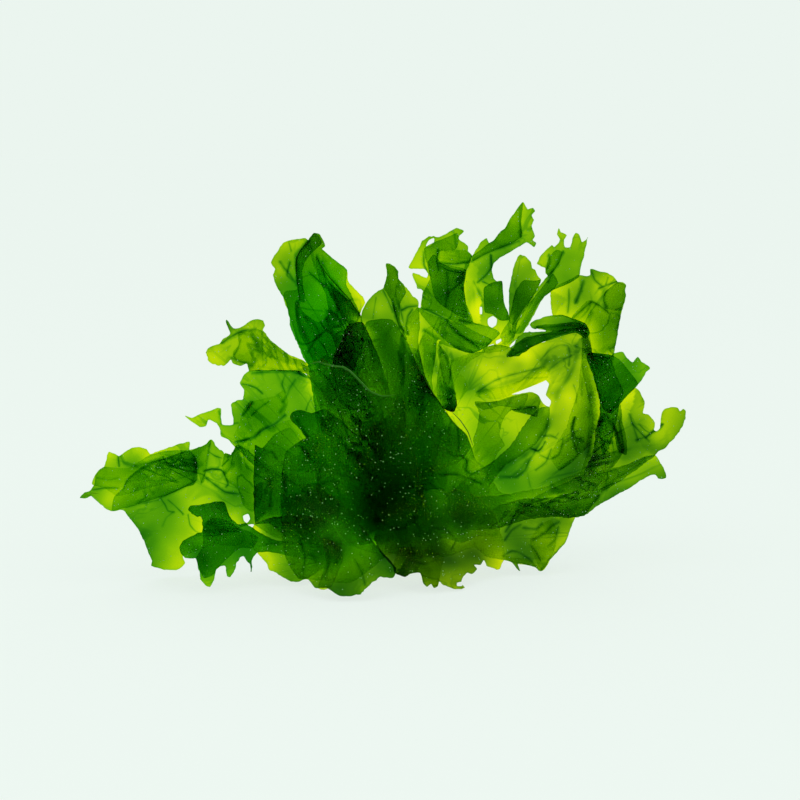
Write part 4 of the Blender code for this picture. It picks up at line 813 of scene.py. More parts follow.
lay_out(
    "big_right_blade",
    outline=[(440, 341), (455, 345), (468, 348), (476, 352), (482, 351), (487, 346), (500, 345), (510, 347),
        (520, 351), (535, 345), (550, 340), (565, 335), (578, 330), (587, 333), (592, 350), (596, 380),
        (602, 400), (608, 430), (610, 460), (603, 480), (588, 496), (565, 506), (535, 512), (505, 518),
        (475, 526), (450, 518), (432, 480), (432, 440), (437, 410), (437, 380), (440, 360)],
    depths=[(450, 356, 6), (500, 375, 2), (586, 334, 12), (606, 440, 10), (555, 430, 2), (500, 500, 6),
        (440, 460, 10)],
    holes=[[(511, 394), (530, 387), (545, 380), (549, 384), (546, 395), (551, 401), (549, 407), (543, 403),
         (538, 395), (532, 392), (520, 394)]],
    folds=[[(475, 396), (500, 399), (513, 394), (530, 387), (546, 380), (550, 372), (545, 366), (530, 376),
         (505, 386), (480, 390)],
        [(549, 357), (555, 348), (563, 345), (569, 351), (570, 362), (566, 375), (558, 382), (553, 392),
         (551, 402), (546, 395), (549, 384), (548, 370)],
        [(583, 334), (589, 334), (592, 350), (596, 380), (602, 400), (608, 430), (610, 460), (603, 480),
         (588, 496), (570, 503), (578, 480), (588, 450), (592, 420), (588, 395), (582, 370)],
        [(440, 378), (452, 372), (463, 376), (468, 388), (462, 398), (452, 402), (440, 400)]],
    creases=[(1.5, 0.6, [(560, 337), (575, 333), (583, 336), (588, 343)]),
        (1.5, 0.8, [(541, 360), (550, 350), (560, 345), (568, 346), (570, 355), (569, 365)]),
        (3, 0.6, [(576, 345), (577, 355), (573, 368), (568, 378), (560, 388), (556, 398)]),
        (4, 0.6, [(556, 398), (552, 415), (548, 425), (542, 435), (535, 447), (525, 455), (512, 462),
         (500, 470)]),
        (3, 0.5, [(480, 392), (500, 385), (520, 379), (540, 368), (548, 358)]),
        (1.2, 0.6, [(525, 378), (540, 378), (548, 377)]),
        (1.5, 0.4, [(583, 365), (584, 375), (583, 385)]),
        (1.2, 0.5, [(574, 386), (577, 395), (576, 402)]),
        (1.5, 0.9, [(575, 418), (572, 428), (573, 440), (577, 452)]),
        (5, 0.4, [(580, 440), (585, 455)]),
        (1.2, 0.5, [(563, 440), (562, 450), (557, 458), (549, 459), (540, 455)]),
        (1, 0.4, [(545, 436), (555, 437), (558, 434)]),
        (1, 0.7, [(532, 449), (538, 451), (542, 447)]),
        (2, 0.6, [(500, 478), (510, 477), (520, 470), (527, 460)]),
        (1.2, 0.3, [(528, 475), (530, 485), (533, 492)]),
        (6, 0.5, [(590, 350), (590, 400), (592, 430), (588, 450)]),
        (1.3, 0.9, [(533, 449), (538, 451), (542, 448), (545, 442)]),
        (1.3, 0.8, [(553, 458), (559, 454), (562, 445)]),
        (1.4, 0.8, [(574, 418), (573, 429), (577, 442), (579, 450)]),
        (2.6, 0.8, [(590, 395), (590, 430), (588, 455)]),
        (1.3, 0.6, [(543, 436), (550, 435), (556, 438)]),
        (1.6, 0.9, [(500, 476), (516, 477), (525, 470), (529, 461), (545, 435), (549, 420)]),
        (1.6, 0.9, [(517, 505), (530, 507), (545, 509)]),
        (1.6, 0.8, [(574, 334), (582, 337), (591, 356)]),
        (1.5, 0.8, [(549, 370), (560, 361), (571, 356)]),
        (1.4, 0.8, [(477, 392), (494, 381), (511, 375), (544, 367)]),
        (1.4, 0.6, [(582, 378), (582, 395)]),
        (1.3, 0.6, [(560, 470), (572, 462), (580, 452)]),
        (1.3, 0.6, [(536, 470), (546, 462), (551, 450)])],
    fold_tones=[0.15, None, 0.3, 0.2],
    soft_folds=(0, 3),
    tones=[(445, 385, 0.5), (470, 385, 1.2), (485, 372, 0.4), (510, 362, 0.6), (530, 355, 0.45),
        (550, 340, 1.1), (575, 340, 1.2), (548, 362, 1.4), (560, 362, 1.0), (500, 375, 0.3),
        (525, 372, 0.6), (545, 380, 0.9), (470, 400, 0.5), (500, 400, 0.5), (470, 420, 0.4),
        (490, 430, 0.7), (510, 430, 0.5), (530, 420, 0.7), (560, 395, 1.0), (565, 415, 0.6),
        (550, 435, 0.65), (580, 425, 0.7), (583, 445, 1.4), (550, 455, 0.55), (535, 470, 0.7),
        (510, 470, 1.5), (500, 490, 1.1), (530, 490, 1.1), (560, 470, 1.4), (575, 470, 1.7),
        (550, 485, 1.4), (590, 460, 1.4), (590, 400, 0.9), (592, 430, 1.3), (480, 470, 0.5),
        (480, 500, 0.5), (560, 500, 0.8), (530, 410, 0.9), (592, 395, 1.2), (495, 455, 1.0),
        (550, 390, 3.0), (550, 412, 1.9), (495, 352, 1.0), (512, 352, 0.9), (505, 390, 0.6),
        (532, 352, 0.8), (535, 372, 0.9), (520, 365, 0.8), (500, 362, 0.6), (480, 365, 0.5),
        (600, 430, 0.4), (490, 350, 1.9), (510, 352, 1.1), (570, 490, 1.5), (590, 410, 1.2),
        (510, 390, 1.0), (550, 395, 3.2)],
    bites=[(450, 400, 2.2), (520, 380, 1.8), (560, 420, 1.8), (500, 470, 2.2)],
)
lay_out(
    "upper_right_frond",
    outline=[(537, 264), (540, 257), (546, 250), (552, 245), (554, 247), (559, 243), (560, 239), (557, 234),
        (559, 228), (561, 232), (567, 235), (564, 240), (565, 247), (570, 247), (573, 237), (576, 233),
        (579, 234), (582, 242), (586, 240), (588, 237), (585, 250), (584, 257), (581, 265), (579, 277),
        (565, 285), (555, 289), (545, 296), (540, 303), (535, 313), (530, 322), (522, 334), (508, 346),
        (485, 352), (462, 368), (452, 392), (445, 430), (435, 470), (418, 470), (420, 430), (436, 385),
        (448, 362), (480, 350), (500, 342), (508, 330), (520, 318), (530, 300), (538, 288), (543, 281),
        (548, 276), (546, 273), (546, 268), (542, 267)],
    depths=[(576, 233, -10), (538, 262, 0), (578, 275, 2), (525, 320, 10), (455, 375, 12), (425, 465, 14)],
    folds=[[(548, 280), (553, 274), (558, 283), (552, 291), (545, 296), (538, 304), (530, 320), (521, 333),
         (510, 332), (520, 318), (530, 302), (540, 290)],
        [(546, 268), (549, 258), (556, 250), (562, 252), (560, 262), (553, 272), (548, 276)]],
    creases=[(1.6, 0.7, [(563, 252), (557, 265), (550, 275), (548, 282)]),
        (1.5, 0.6, [(549, 255), (550, 262), (547, 268)]),
        (2, 0.6, [(537, 290), (532, 300), (524, 310)])],
    fold_tones=[0.45, 0.3],
    tones=[(560, 240, 0.5), (576, 240, 0.4), (545, 257, 0.3), (552, 255, 0.45), (560, 262, 0.6),
        (575, 265, 0.5), (580, 255, 0.55), (570, 285, 0.7), (555, 285, 0.7), (545, 290, 0.7),
        (530, 310, 0.7), (515, 335, 0.5), (480, 380, 0.4), (440, 440, 0.4)],
    bite=2.1,
)
lay_out(
    "right_top_blade",
    outline=[(578, 275), (586, 276), (590, 275), (590, 269), (596, 270), (602, 272), (608, 273), (614, 277),
        (618, 282), (622, 282), (626, 285), (625, 290), (626, 295), (624, 303), (621, 312), (619, 325),
        (617, 338), (614, 354), (610, 380), (600, 420), (585, 450), (560, 470), (550, 455), (565, 430),
        (578, 390), (582, 350), (580, 328), (572, 320), (563, 316), (553, 316), (551, 305), (551, 290),
        (560, 284), (571, 279)],
    depths=[(592, 270, 4), (626, 288, 0), (552, 300, 10), (612, 350, 14), (560, 460, 16), (590, 320, 20)],
    folds=[[(572, 318), (576, 312), (580, 308), (587, 301), (593, 301), (600, 305), (605, 309), (614, 310),
         (622, 307), (619, 325), (617, 338), (614, 354), (610, 372), (598, 375), (592, 360), (589, 345),
         (585, 328)],
        [(605, 292), (612, 286), (618, 282), (626, 285), (625, 290), (626, 295), (624, 303), (622, 310),
         (612, 310), (606, 308), (603, 300)]],
    creases=[(1.3, 0.9, [(592, 272), (595, 280), (602, 286)]),
        (1, 0.5, [(608, 278), (606, 284)]),
        (1.3, 0.8, [(600, 288), (610, 284), (618, 281)]),
        (1.2, 0.7, [(569, 290), (569, 302), (568, 312)]),
        (2, 0.8, [(583, 282), (580, 292), (576, 302)]),
        (2.5, 0.7, [(604, 290), (603, 300), (606, 308)]),
        (1.4, 0.8, [(573, 318), (582, 310), (592, 302), (602, 307), (608, 312)]),
        (2, 0.4, [(592, 312), (588, 325), (586, 335)])],
    fold_tones=[0.35, 0.4],
    soft_folds=(0,),
    tones=[(555, 295, 0.4), (565, 305, 0.45), (572, 295, 0.7), (580, 280, 0.7), (595, 275, 0.6),
        (600, 285, 0.25), (612, 278, 0.3), (592, 300, 0.5), (620, 290, 0.3), (610, 305, 0.35),
        (600, 320, 0.5), (615, 320, 0.6), (600, 345, 0.55), (612, 345, 0.5), (600, 400, 0.5),
        (580, 450, 0.5)],
    bite=1.95,
)
lay_out(
    "back_left_blade",
    outline=[(330, 546), (318, 538), (309, 524), (303, 508), (305, 496), (299, 488), (303, 472), (301, 460),
        (308, 452), (306, 440), (315, 432), (320, 420), (330, 418), (336, 408), (345, 404), (352, 410),
        (362, 406), (370, 414), (378, 424), (386, 440), (396, 456), (402, 480), (405, 505), (400, 530),
        (388, 542), (370, 540), (350, 546)],
    depths=[(310, 500, 4), (345, 405, 14), (395, 450, 20), (330, 545, 20), (400, 540, 24), (355, 475, 10)],
    folds=[[(303, 472), (301, 460), (308, 452), (306, 440), (315, 432), (320, 420), (330, 418), (336, 430),
         (330, 455), (318, 470)]],
    fold_tones=[0.3],
    soft_folds=(0,),
    tones=[(310, 450, 0.2), (330, 500, 0.25), (370, 520, 0.3), (390, 440, 0.3), (370, 490, 0.6),
        (330, 430, 0.1), (350, 450, 0.2)],
)
lay_out(
    "back_middle_blade",
    outline=[(360, 545), (353, 525), (346, 500), (350, 485), (347, 465), (352, 445), (350, 430), (358, 415),
        (360, 398), (367, 388), (370, 372), (378, 362), (386, 364), (391, 356), (399, 360), (405, 372),
        (412, 380), (414, 395), (423, 408), (428, 425), (438, 438), (441, 458), (448, 475), (446, 500),
        (450, 520), (440, 538), (425, 535), (405, 544), (385, 538)],
    depths=[(385, 358, 34), (360, 470, 20), (440, 480, 24), (400, 545, 30), (400, 430, 22)],
    tones=[(390, 465, 1.3), (400, 500, 2.0), (390, 530, 2.2), (370, 440, 1.0), (370, 400, 0.4),
        (430, 430, 0.6), (430, 510, 0.7), (360, 480, 0.6), (400, 380, 0.4), (390, 550, 2.6),
        (410, 430, 0.4)],
)
lay_out(
    "back_right_blade",
    outline=[(412, 543), (402, 520), (404, 500), (412, 486), (416, 470), (424, 460), (426, 445), (435, 436),
        (441, 428), (450, 434), (456, 442), (464, 446), (468, 458), (478, 466), (482, 478), (492, 480),
        (500, 492), (512, 496), (517, 506), (513, 520), (500, 528), (495, 536), (478, 536), (462, 543),
        (445, 538), (430, 544)],
    depths=[(440, 428, 40), (515, 505, 20), (405, 500, 30), (450, 543, 36), (470, 480, 26)],
    tones=[(450, 515, 1.3), (500, 510, 0.7), (470, 470, 0.9), (420, 460, 0.3), (440, 490, 0.8),
        (490, 530, 0.8), (470, 530, 1.7), (470, 550, 1.0)],
)


class BladeSettings(bpy.types.PropertyGroup):
    """What a user would change on the blades."""

    thickness: bpy.props.FloatProperty(
        name="Thickness", description="Wall of a blade", default=0.0001, unit="LENGTH"
    )
    ruffle: bpy.props.FloatProperty(
        name="Ruffle", description="Most that a free margin waves", default=0.0022, unit="LENGTH"
    )
    wrinkle: bpy.props.FloatProperty(
        name="Wrinkle", description="Height of the pleats", default=0.0003, unit="LENGTH"
    )
    tooth: bpy.props.FloatProperty(
        name="Tooth", description="Depth of the fine teeth on the margins, in squares", default=1.0
    )
    mottle: bpy.props.FloatProperty(
        name="Mottle", description="How much the green varies", default=0.3, subtype="FACTOR"
    )
    vein: bpy.props.FloatProperty(
        name="Vein", description="Darkness of the fine irregular lines in the blades", default=0.4
    )
    speck_gap: bpy.props.FloatProperty(
        name="Speck gap", description="Usual distance between bright specks", default=0.0027, unit="LENGTH"
    )
    speck_size: bpy.props.FloatProperty(
        name="Speck size", description="Radius of the larger bright specks", default=0.00016, unit="LENGTH"
    )


class StageSettings(bpy.types.PropertyGroup):
    """The ground, the backdrop and the light."""

    backdrop: bpy.props.FloatVectorProperty(
        name="Backdrop",
        description="Pale colour behind the clump",
        default=(0.831, 0.913, 0.863),
        subtype="COLOR",
    )
    front_dimming: bpy.props.FloatProperty(
        name="Front dimming",
        description="How much darker the room is in reflections",
        default=0.97,
        subtype="FACTOR",
    )
    floor_glow: bpy.props.FloatProperty(
        name="Floor glow",
        description="Share of the floor's light that is its own",
        default=0.8,
        subtype="FACTOR",
    )


def view_axes():
    """The viewer's directions: ahead, to the right and up."""
    ahead = np.array([0.0, math.cos(VIEW_TILT), -math.sin(VIEW_TILT)])
    right = np.array([1.0, 0.0, 0.0])
    up = np.array([0.0, math.sin(VIEW_TILT), math.cos(VIEW_TILT)])
    return ahead, right, up


def placed(columns, rows, depths):
    """Points of the front view, carried along their lines of sight to their depths."""
    ahead, right, up = view_axes()
    eye = VIEW_CENTRE - VIEW_DISTANCE * ahead
    across = (columns - MIDDLE_SQUARE) * SQUARE / VIEW_DISTANCE
    raised = (MIDDLE_SQUARE - rows) * SQUARE / VIEW_DISTANCE
    sight = ahead + np.outer(across, right) + np.outer(raised, up)
    reach = (depths - MIDDLE[1] - eye[1]) / sight[:, 1]
    return eye + sight * reach[:, None]


def thin_plate(points, columns, rows):
    """The smoothest field through points of (column, row, value), read at columns and rows."""
    known = np.array(points, float)
    spots, values = known[:, :2], known[:, 2]

    def bend(a, b):
        apart = np.linalg.norm(a[:, None] - b[None], axis=2)
        return apart**2 * np.log(np.maximum(apart, TINY))

    flat = np.column_stack([np.ones(len(spots)), spots])
    system = np.block([[bend(spots, spots), flat], [flat.T, np.zeros((3, 3))]])
    weights = np.linalg.solve(system, np.append(values, np.zeros(3)))
    wanted = np.column_stack([columns, rows])
    return np.column_stack([bend(wanted, spots), np.ones(len(wanted)), wanted]) @ weights


def is_inside(points, ring):
    """Whether each point of the front view lies inside a ring."""
    edge = np.array(ring, float)
    inside = np.zeros(len(points), bool)
    for start, end in zip(edge, np.roll(edge, -1, axis=0)):
        if start[1] == end[1]:
            continue
        spans = (points[:, 1] < start[1]) != (points[:, 1] < end[1])
        crossing = start[0] + (points[:, 1] - start[1]) * (end[0] - start[0]) / (end[1] - start[1])
        inside ^= spans & (points[:, 0] < crossing)
    return inside


def distance_to(points, ring, closed=True):
    """Distance in squares from each point to the nearest place on a ring or an open line."""
    edge = np.array(ring, float)
    ends = np.roll(edge, -1, axis=0) if closed else edge[1:]
    nearest = np.full(len(points), np.inf)
    for start, end in zip(edge, ends):
        along = end - start
        share = ((points - start) @ along / max(along @ along, TINY)).clip(0, 1)
        nearest = np.minimum(nearest, np.linalg.norm(points - start - share[:, None] * along, axis=1))
    return nearest


def smoothed(field):
    """The lattice values, each averaged with its neighbours."""
    padded = np.pad(field, 1, mode="reflect", reflect_type="odd")
    rows = (padded[:-2] + 2 * padded[1:-1] + padded[2:]) / 4
    return (rows[:, :-2] + 2 * rows[:, 1:-1] + rows[:, 2:]) / 4


class Sheet(NamedTuple):
    """One layer of a blade, the blade itself or a fold of it, with its depths on the lattice."""

    blade: Blade
    ring: list
    field: np.ndarray
    beyond: np.ndarray
    fold: int


SHEETS = []


def settled_sheets():
    """Every sheet, front to back, clear of the sheets before it."""
    columns, rows = np.meshgrid(LATTICE_COLUMNS, LATTICE_ROWS)
    spots = np.column_stack([columns.ravel(), rows.ravel()]).astype(float)
    limit = np.full(columns.shape, -np.inf)
    sheets = []
    for blade in BLADES:
        depths = [depth / 1000 for _, _, depth in blade.depths]
        points = [(column, row, depth / 1000) for column, row, depth in blade.depths]
        lying = thin_plate(points, spots[:, 0], spots[:, 1]).reshape(columns.shape)
        lying = lying.clip(min(depths) - OVERSHOOT, max(depths) + OVERSHOOT)
        for folded, ring in zip(range(len(blade.folds), -1, -1), blade.folds + [blade.outline]):
            wanted = lying - FOLD_STEP * folded
            field = np.maximum(wanted, limit)
            for _ in range(SMOOTHING_ROUNDS):
                field = np.maximum(smoothed(field), limit)
            field = smoothed(field)
            beyond = (distance_to(spots, ring) * ~is_inside(spots, ring)).reshape(columns.shape)
            step = FOLD_STEP if folded else CLEARANCE
            limit = np.maximum(limit, field + step - EASE_PER_SQUARE * beyond)
            sheets.append(Sheet(blade, ring, field, beyond, len(blade.folds) - folded))
    return sheets


def free_room(blade):
    """How far a blade may move, on the lattice, before it meets another blade."""
    own = [sheet for sheet in SHEETS if sheet.blade is blade]
    room = np.full(own[0].field.shape, MOST_ROOM)
    for other in SHEETS:
        if other.blade is blade:
            continue
        for sheet in own:
            apart = np.abs(sheet.field - other.field) + ROOM_PER_SQUARE * other.beyond
            room = np.minimum(room, apart)
    return smoothed(room).clip(LEAST_ROOM, MOST_ROOM)


def cubic_weights(share):
    """Weights of four neighbours in a row for a smooth reading between the middle two."""
    return np.stack([
        ((-0.5 * share + 1) * share - 0.5) * share,
        (1.5 * share - 2.5) * share * share + 1,
        ((-1.5 * share + 2) * share + 0.5) * share,
        (0.5 * share - 0.5) * share * share,
    ])


def read_field(field, points):
    """A lattice field read smoothly at points of the front view."""
    column = ((points[:, 0] - LATTICE_COLUMNS[0]) / LATTICE_STEP).clip(1, field.shape[1] - 3)
    row = ((points[:, 1] - LATTICE_ROWS[0]) / LATTICE_STEP).clip(1, field.shape[0] - 3)
    i, j = row.astype(int), column.astype(int)
    down, across = cubic_weights(row - i), cubic_weights(column - j)
    total = np.zeros(len(points))
    for a in range(4):
        for b in range(4):
            total += down[a] * across[b] * field[i + a - 1, j + b - 1]
    return total


def soft_noise(x, y, seed):
    """Smooth noise between -1 and 1, one bump to a unit."""
    table = np.random.default_rng(seed).uniform(-1, 1, (NOISE_CELLS, NOISE_CELLS))
    i, j = np.floor(x).astype(int), np.floor(y).astype(int)
    u, v = x - i, y - j
    u, v = u * u * (3 - 2 * u), v * v * (3 - 2 * v)

    def corner(a, b):
        return table[(i + a) % NOISE_CELLS, (j + b) % NOISE_CELLS]

    near = corner(0, 0) * (1 - u) + corner(1, 0) * u
    far = corner(0, 1) * (1 - u) + corner(1, 1) * u
    return near * (1 - v) + far * v


def patches(points, size, seed):
    """Smooth noise over the front view, one bump to size squares."""
    return soft_noise(points[:, 0] / size, points[:, 1] / size, seed)


def around_heart(points):
    """The angle of each point about the heart, from straight up, and its distance from there."""
    away = points - HEART
    return np.arctan2(away[:, 0], -away[:, 1]), np.linalg.norm(away, axis=1)


def smooth_ring(ring, closed=True):
    """A ring or line drawn smoothly through its points, with a point every RIM_STEP."""
    edge = np.array(ring, float)
    count = len(edge)
    drawn = []
    for k in range(count if closed else count - 1):
        if closed:
            before, start, end, after = (edge[(k + n) % count] for n in (-1, 0, 1, 2))
        else:
            before, start, end, after = (edge[min(max(k + n, 0), count - 1)] for n in (-1, 0, 1, 2))
        chord = np.linalg.norm(end - start)
        leave, arrive = end - before, after - start
        leave = leave / max(np.linalg.norm(leave), TINY) * chord * SMOOTH_PULL
        arrive = arrive / max(np.linalg.norm(arrive), TINY) * chord * SMOOTH_PULL
        pieces = max(1, round(chord / RIM_STEP))
        share = (np.arange(pieces) / pieces)[:, None]
        drawn.append(
            (2 * share**3 - 3 * share**2 + 1) * start
            + (share**3 - 2 * share**2 + share) * leave
            + (3 * share**2 - 2 * share**3) * end
            + (share**3 - share**2) * arrive
        )
    if not closed:
        drawn.append(edge[-1:])
    return np.concatenate(drawn)


def toothed(ring, tooth, seed):
    """A ring with the small uneven teeth of a torn margin, as deep as tooth says."""
    ahead = np.roll(ring, -1, axis=0) - np.roll(ring, 1, axis=0)
    length = np.maximum(np.linalg.norm(ahead, axis=1), TINY)
    outward = np.column_stack([ahead[:, 1], -ahead[:, 0]]) / length[:, None]
    along = np.cumsum(length) / 2
    small = SMALL_TOOTH * soft_noise(along / SMALL_TOOTH_LENGTH, along * 0, seed + 1)
    wave = soft_noise(along / TOOTH_LENGTH, along * 0 + 0.5, seed) + small
    patch = soft_noise(along / TOOTH_PATCH, along * 0 + 3.5, seed + 2).clip(0, 1)
    return ring + outward * (wave * tooth * (LEAST_TOOTH + patch))[:, None]


def inner_points(ring, holes, lines):
    """Points of a triangular grid inside a ring, clear of its rims and of its crease lines."""
    low, high = ring.min(axis=0), ring.max(axis=0)
    row_step = INNER_STEP * math.sqrt(3) / 2
    rows = np.arange(math.floor(low[1] / row_step), math.ceil(high[1] / row_step))
    columns = np.arange(math.floor(low[0] / INNER_STEP), math.ceil(high[0] / INNER_STEP))
    grid_columns, grid_rows = np.meshgrid(columns, rows)
    shifted = (grid_columns + (grid_rows % 2) / 2) * INNER_STEP
    grid = np.column_stack([shifted.ravel(), (grid_rows * row_step).ravel()])
    grid = grid[is_inside(grid, ring)]
    for rim in [ring] + holes:
        grid = grid[nearest_on(grid, rim)[0] > INNER_MARGIN]
    for hole in holes:
        grid = grid[~is_inside(grid, hole)]
    for line in lines:
        grid = grid[nearest_on(grid, line)[0] > CREASE_SIDE + CREASE_GAP]
    return grid


def nearest_on(points, ring):
    """Distance to the nearest point of a finely drawn ring, and that point's number."""
    best = np.full(len(points), np.inf)
    which = np.zeros(len(points), int)
    for start in range(0, len(points), POINTS_AT_ONCE):
        part = points[start : start + POINTS_AT_ONCE]
        apart = np.linalg.norm(part[:, None] - ring[None], axis=2)
        which[start : start + POINTS_AT_ONCE] = apart.argmin(axis=1)
        best[start : start + POINTS_AT_ONCE] = apart.min(axis=1)
    return best, which


def crease_rows(lines, ring):
    """Points along each crease and along both its sides, inside the ring."""
    rows = []
    for line in lines:
        ahead = np.gradient(line, axis=0)
        side = np.column_stack([-ahead[:, 1], ahead[:, 0]])
        side /= np.maximum(np.linalg.norm(side, axis=1), TINY)[:, None]
        rows += [line, line + side * CREASE_SIDE, line - side * CREASE_SIDE]
    if not rows:
        return np.empty((0, 2))
    points = np.concatenate(rows)
    points = points[is_inside(points, ring)]
    return points[nearest_on(points, ring)[0] > INNER_MARGIN]


def flat_triangles(ring, holes, lines):
    """Points and triangles of a sheet laid flat on the front view."""
    points, edges = [], []
    for rim in [ring] + holes:
        first = len(points)
        points += [tuple(point) for point in rim]
        edges += [(first + k, first + (k + 1) % len(rim)) for k in range(len(rim))]
    points += [tuple(point) for point in crease_rows(lines, ring)]
    points += [tuple(point) for point in inner_points(ring, holes, lines)]
    found = delaunay_2d_cdt(points, edges, [], 0, MERGE_GAP)
    flat = np.array([tuple(point) for point in found[0]])
    faces = np.array([tuple(face) for face in found[2]])
    centres = flat[faces].mean(axis=1)
    kept = is_inside(centres, ring)
    for hole in holes:
        kept &= ~is_inside(centres, hole)
    return flat, faces[kept]


def family_shape(points, rim, room, settings, seed):
    """How far the points of a blade and its folds move back and forth together."""
    distance, number = nearest_on(points, rim)
    steps = np.linalg.norm(np.roll(rim, -1, axis=0) - rim, axis=1)
    along = np.cumsum(steps)[number]
    free = read_field(room, points)
    wave = np.zeros(len(points))
    for k, (length, share) in enumerate(RUFFLE_WAVES):
        wave += share * soft_noise(along / length * 2, along * 0 + k + 0.5, seed + k)
    height = np.minimum(RUFFLE_ROOM * free, settings.ruffle)
    ruffle = wave * np.exp(-((distance / RUFFLE_REACH) ** 2)) * height
    swell = patches(points, SWELL_SIZE, seed + SWELL_SEED) * SWELL_ROOM * free
    angle, radius = around_heart(points)
    bent = patches(points, PLEAT_BEND_SIZE, seed + BEND_SEED) * PLEAT_BEND
    pleat = soft_noise(angle * PLEATS + bent, radius / PLEAT_LENGTH + bent, seed + PLEAT_SEED)
    patch = patches(points, PLEAT_PATCH, seed + PATCH_SEED) + PLEAT_PATCH_LEVEL
    outer = (radius / PLEAT_RADIUS - BARE_HEART).clip(0, 1)
    pleat *= settings.wrinkle * (free / MOST_ROOM).clip(LEAST_PLEAT, 1) * patch * outer
    return ruffle + swell + pleat


def painted(spots, flat):
    """A value at each point, carried smoothly between a few spots."""
    values = [value for _, _, value in spots]
    return thin_plate(spots, flat[:, 0], flat[:, 1]).clip(min(values), max(values))


def hidden_share(ring, sheet):
    """How well each point of a sheet's rim is hidden behind the blades before it, from 0 to 1."""
    covers = np.zeros(len(ring))
    for other in SHEETS:
        if other is sheet:
            break
        if other.blade is not sheet.blade:
            covers += is_inside(ring, other.ring)
    if sheet.fold in sheet.blade.soft_folds:
        deep = distance_to(ring, sheet.blade.outline) > SOFT_FOLD_DEPTH
        covers += is_inside(ring, sheet.blade.outline) & deep
    share = 1 - SEEN_THROUGH**covers
    for _ in range(FADE_ROUNDS):
        share = (np.roll(share, 1) + 2 * share + np.roll(share, -1)) / 4
    return share


def evened(values, faces):
    """Values at the corners of triangles, each drawn towards its neighbours' for a few rounds."""
    ends = np.concatenate([faces[:, [0, 1]], faces[:, [1, 2]], faces[:, [2, 0]]])
    ends = np.concatenate([ends, ends[:, ::-1]])
    count = np.bincount(ends[:, 0], minlength=len(values)) + 1
    for _ in range(EVENING_ROUNDS):
        values = (values + np.bincount(ends[:, 0], values[ends[:, 1]], len(values))) / count
    return values


def sheet_mesh(shape, sheet, rim, room, settings, seed):
    """One thin open sheet, added to a mesh, with its tone and its place on the front view."""
    blade = sheet.blade
    is_fold = sheet.fold < len(blade.folds)
    if is_fold:
        ring = toothed(smooth_ring(sheet.ring), settings.tooth * FOLD_TOOTH, seed + FOLD_SEED)
        holes, creases = [], []
    else:
        ring = rim
        holes = [smooth_ring(hole) for hole in blade.holes]
        creases = [(smooth_ring(line, closed=False), *rest) for *rest, line in blade.creases]
    fine_lines = [line for line, width, _ in creases if width < FINE_CREASE]
    flat, faces = flat_triangles(ring, holes, fine_lines)
    depth = read_field(sheet.field, flat) + family_shape(flat, rim, room, settings, seed)
    margin, number = nearest_on(flat, ring)
    for hole in holes:
        margin = np.minimum(margin, nearest_on(flat, hole)[0])
    if is_fold:
        tone = np.full(len(flat), blade.fold_tones[sheet.fold])
    else:
        # The tone spots hold the blade's own thickness and also painted shade, as under flaps and along
        # folds.
        tone = painted(blade.tones, flat)
    bite = painted(blade.bites, flat) if blade.bites else np.full(len(flat), blade.bite)
    # Creases: pressed in a little and darkened with painted shade; a strength below zero paints a highlight
    # instead.
    for k, (line, width, strength) in enumerate(creases):
        near = np.exp(-((distance_to(flat, line, closed=False) / (width * LINE_WIDTH)) ** 2))
        near *= CREASE_LEVEL + CREASE_VARIES * patches(flat, CREASE_PATCH, seed + k)
        depth += near * min(strength, 1) * CREASE_RELIEF
        tone += near * strength * CREASE_PAINTED_SHADE
    # Painted shade: a thin darker band along every margin of the sheet.
    tone += RIM_PAINTED_SHADE * np.exp(-((margin / RIM_WIDTH) ** 2))
    hidden = hidden_share(ring, sheet)[number]
    tone *= 1 - FADED_SHARE * hidden * np.exp(-((margin / FADE_WIDTH) ** 2))
    spots = placed(flat[:, 0], flat[:, 1], depth)
    spots[:, 2] = np.maximum(spots[:, 2], settings.thickness / 2)
    corners = [shape.verts.new(spot) for spot in spots]
    tones = shape.verts.layers.float["tone"]
    bites = shape.verts.layers.float["bite"]
    places = shape.loops.layers.uv["flat"]
    fans = shape.loops.layers.uv["fan"]
    angle, radius = around_heart(flat)
    for face in faces:
        made = shape.faces.new([corners[index] for index in face])
        for loop, index in zip(made.loops, face):
            loop[places].uv = flat[index] / MIDDLE_SQUARE
            loop[fans].uv = (angle[index], radius[index] / MIDDLE_SQUARE)
    ahead = view_axes()[0]
    shape.normal_update()
    # Painted shade: the tone is divided by how squarely the sheet faces the front view, so parts turned
    # away from it are darker from every side.
    slant = np.array([max(abs(corner.normal @ Vector(ahead)), SLANT_LIMIT) for corner in corners])
    slant = evened(slant, faces)
    for corner, value, share, lean in zip(corners, tone, bite, slant):
        corner[bites] = share
        corner[tones] = max(value, LEAST_TONE) / lean
    for corner in corners:
        if not corner.link_faces:
            shape.verts.remove(corner)


def new_object(name, shape):
    """An object from an edited mesh, active and alone selected."""
    mesh = bpy.data.meshes.new(name)
    shape.to_mesh(mesh)
    shape.free()
    piece = bpy.data.objects.new(name, mesh)
    bpy.context.scene.collection.objects.link(piece)
    bpy.ops.object.select_all(action="DESELECT")
    piece.select_set(True)
    bpy.context.view_layer.objects.active = piece
    return piece


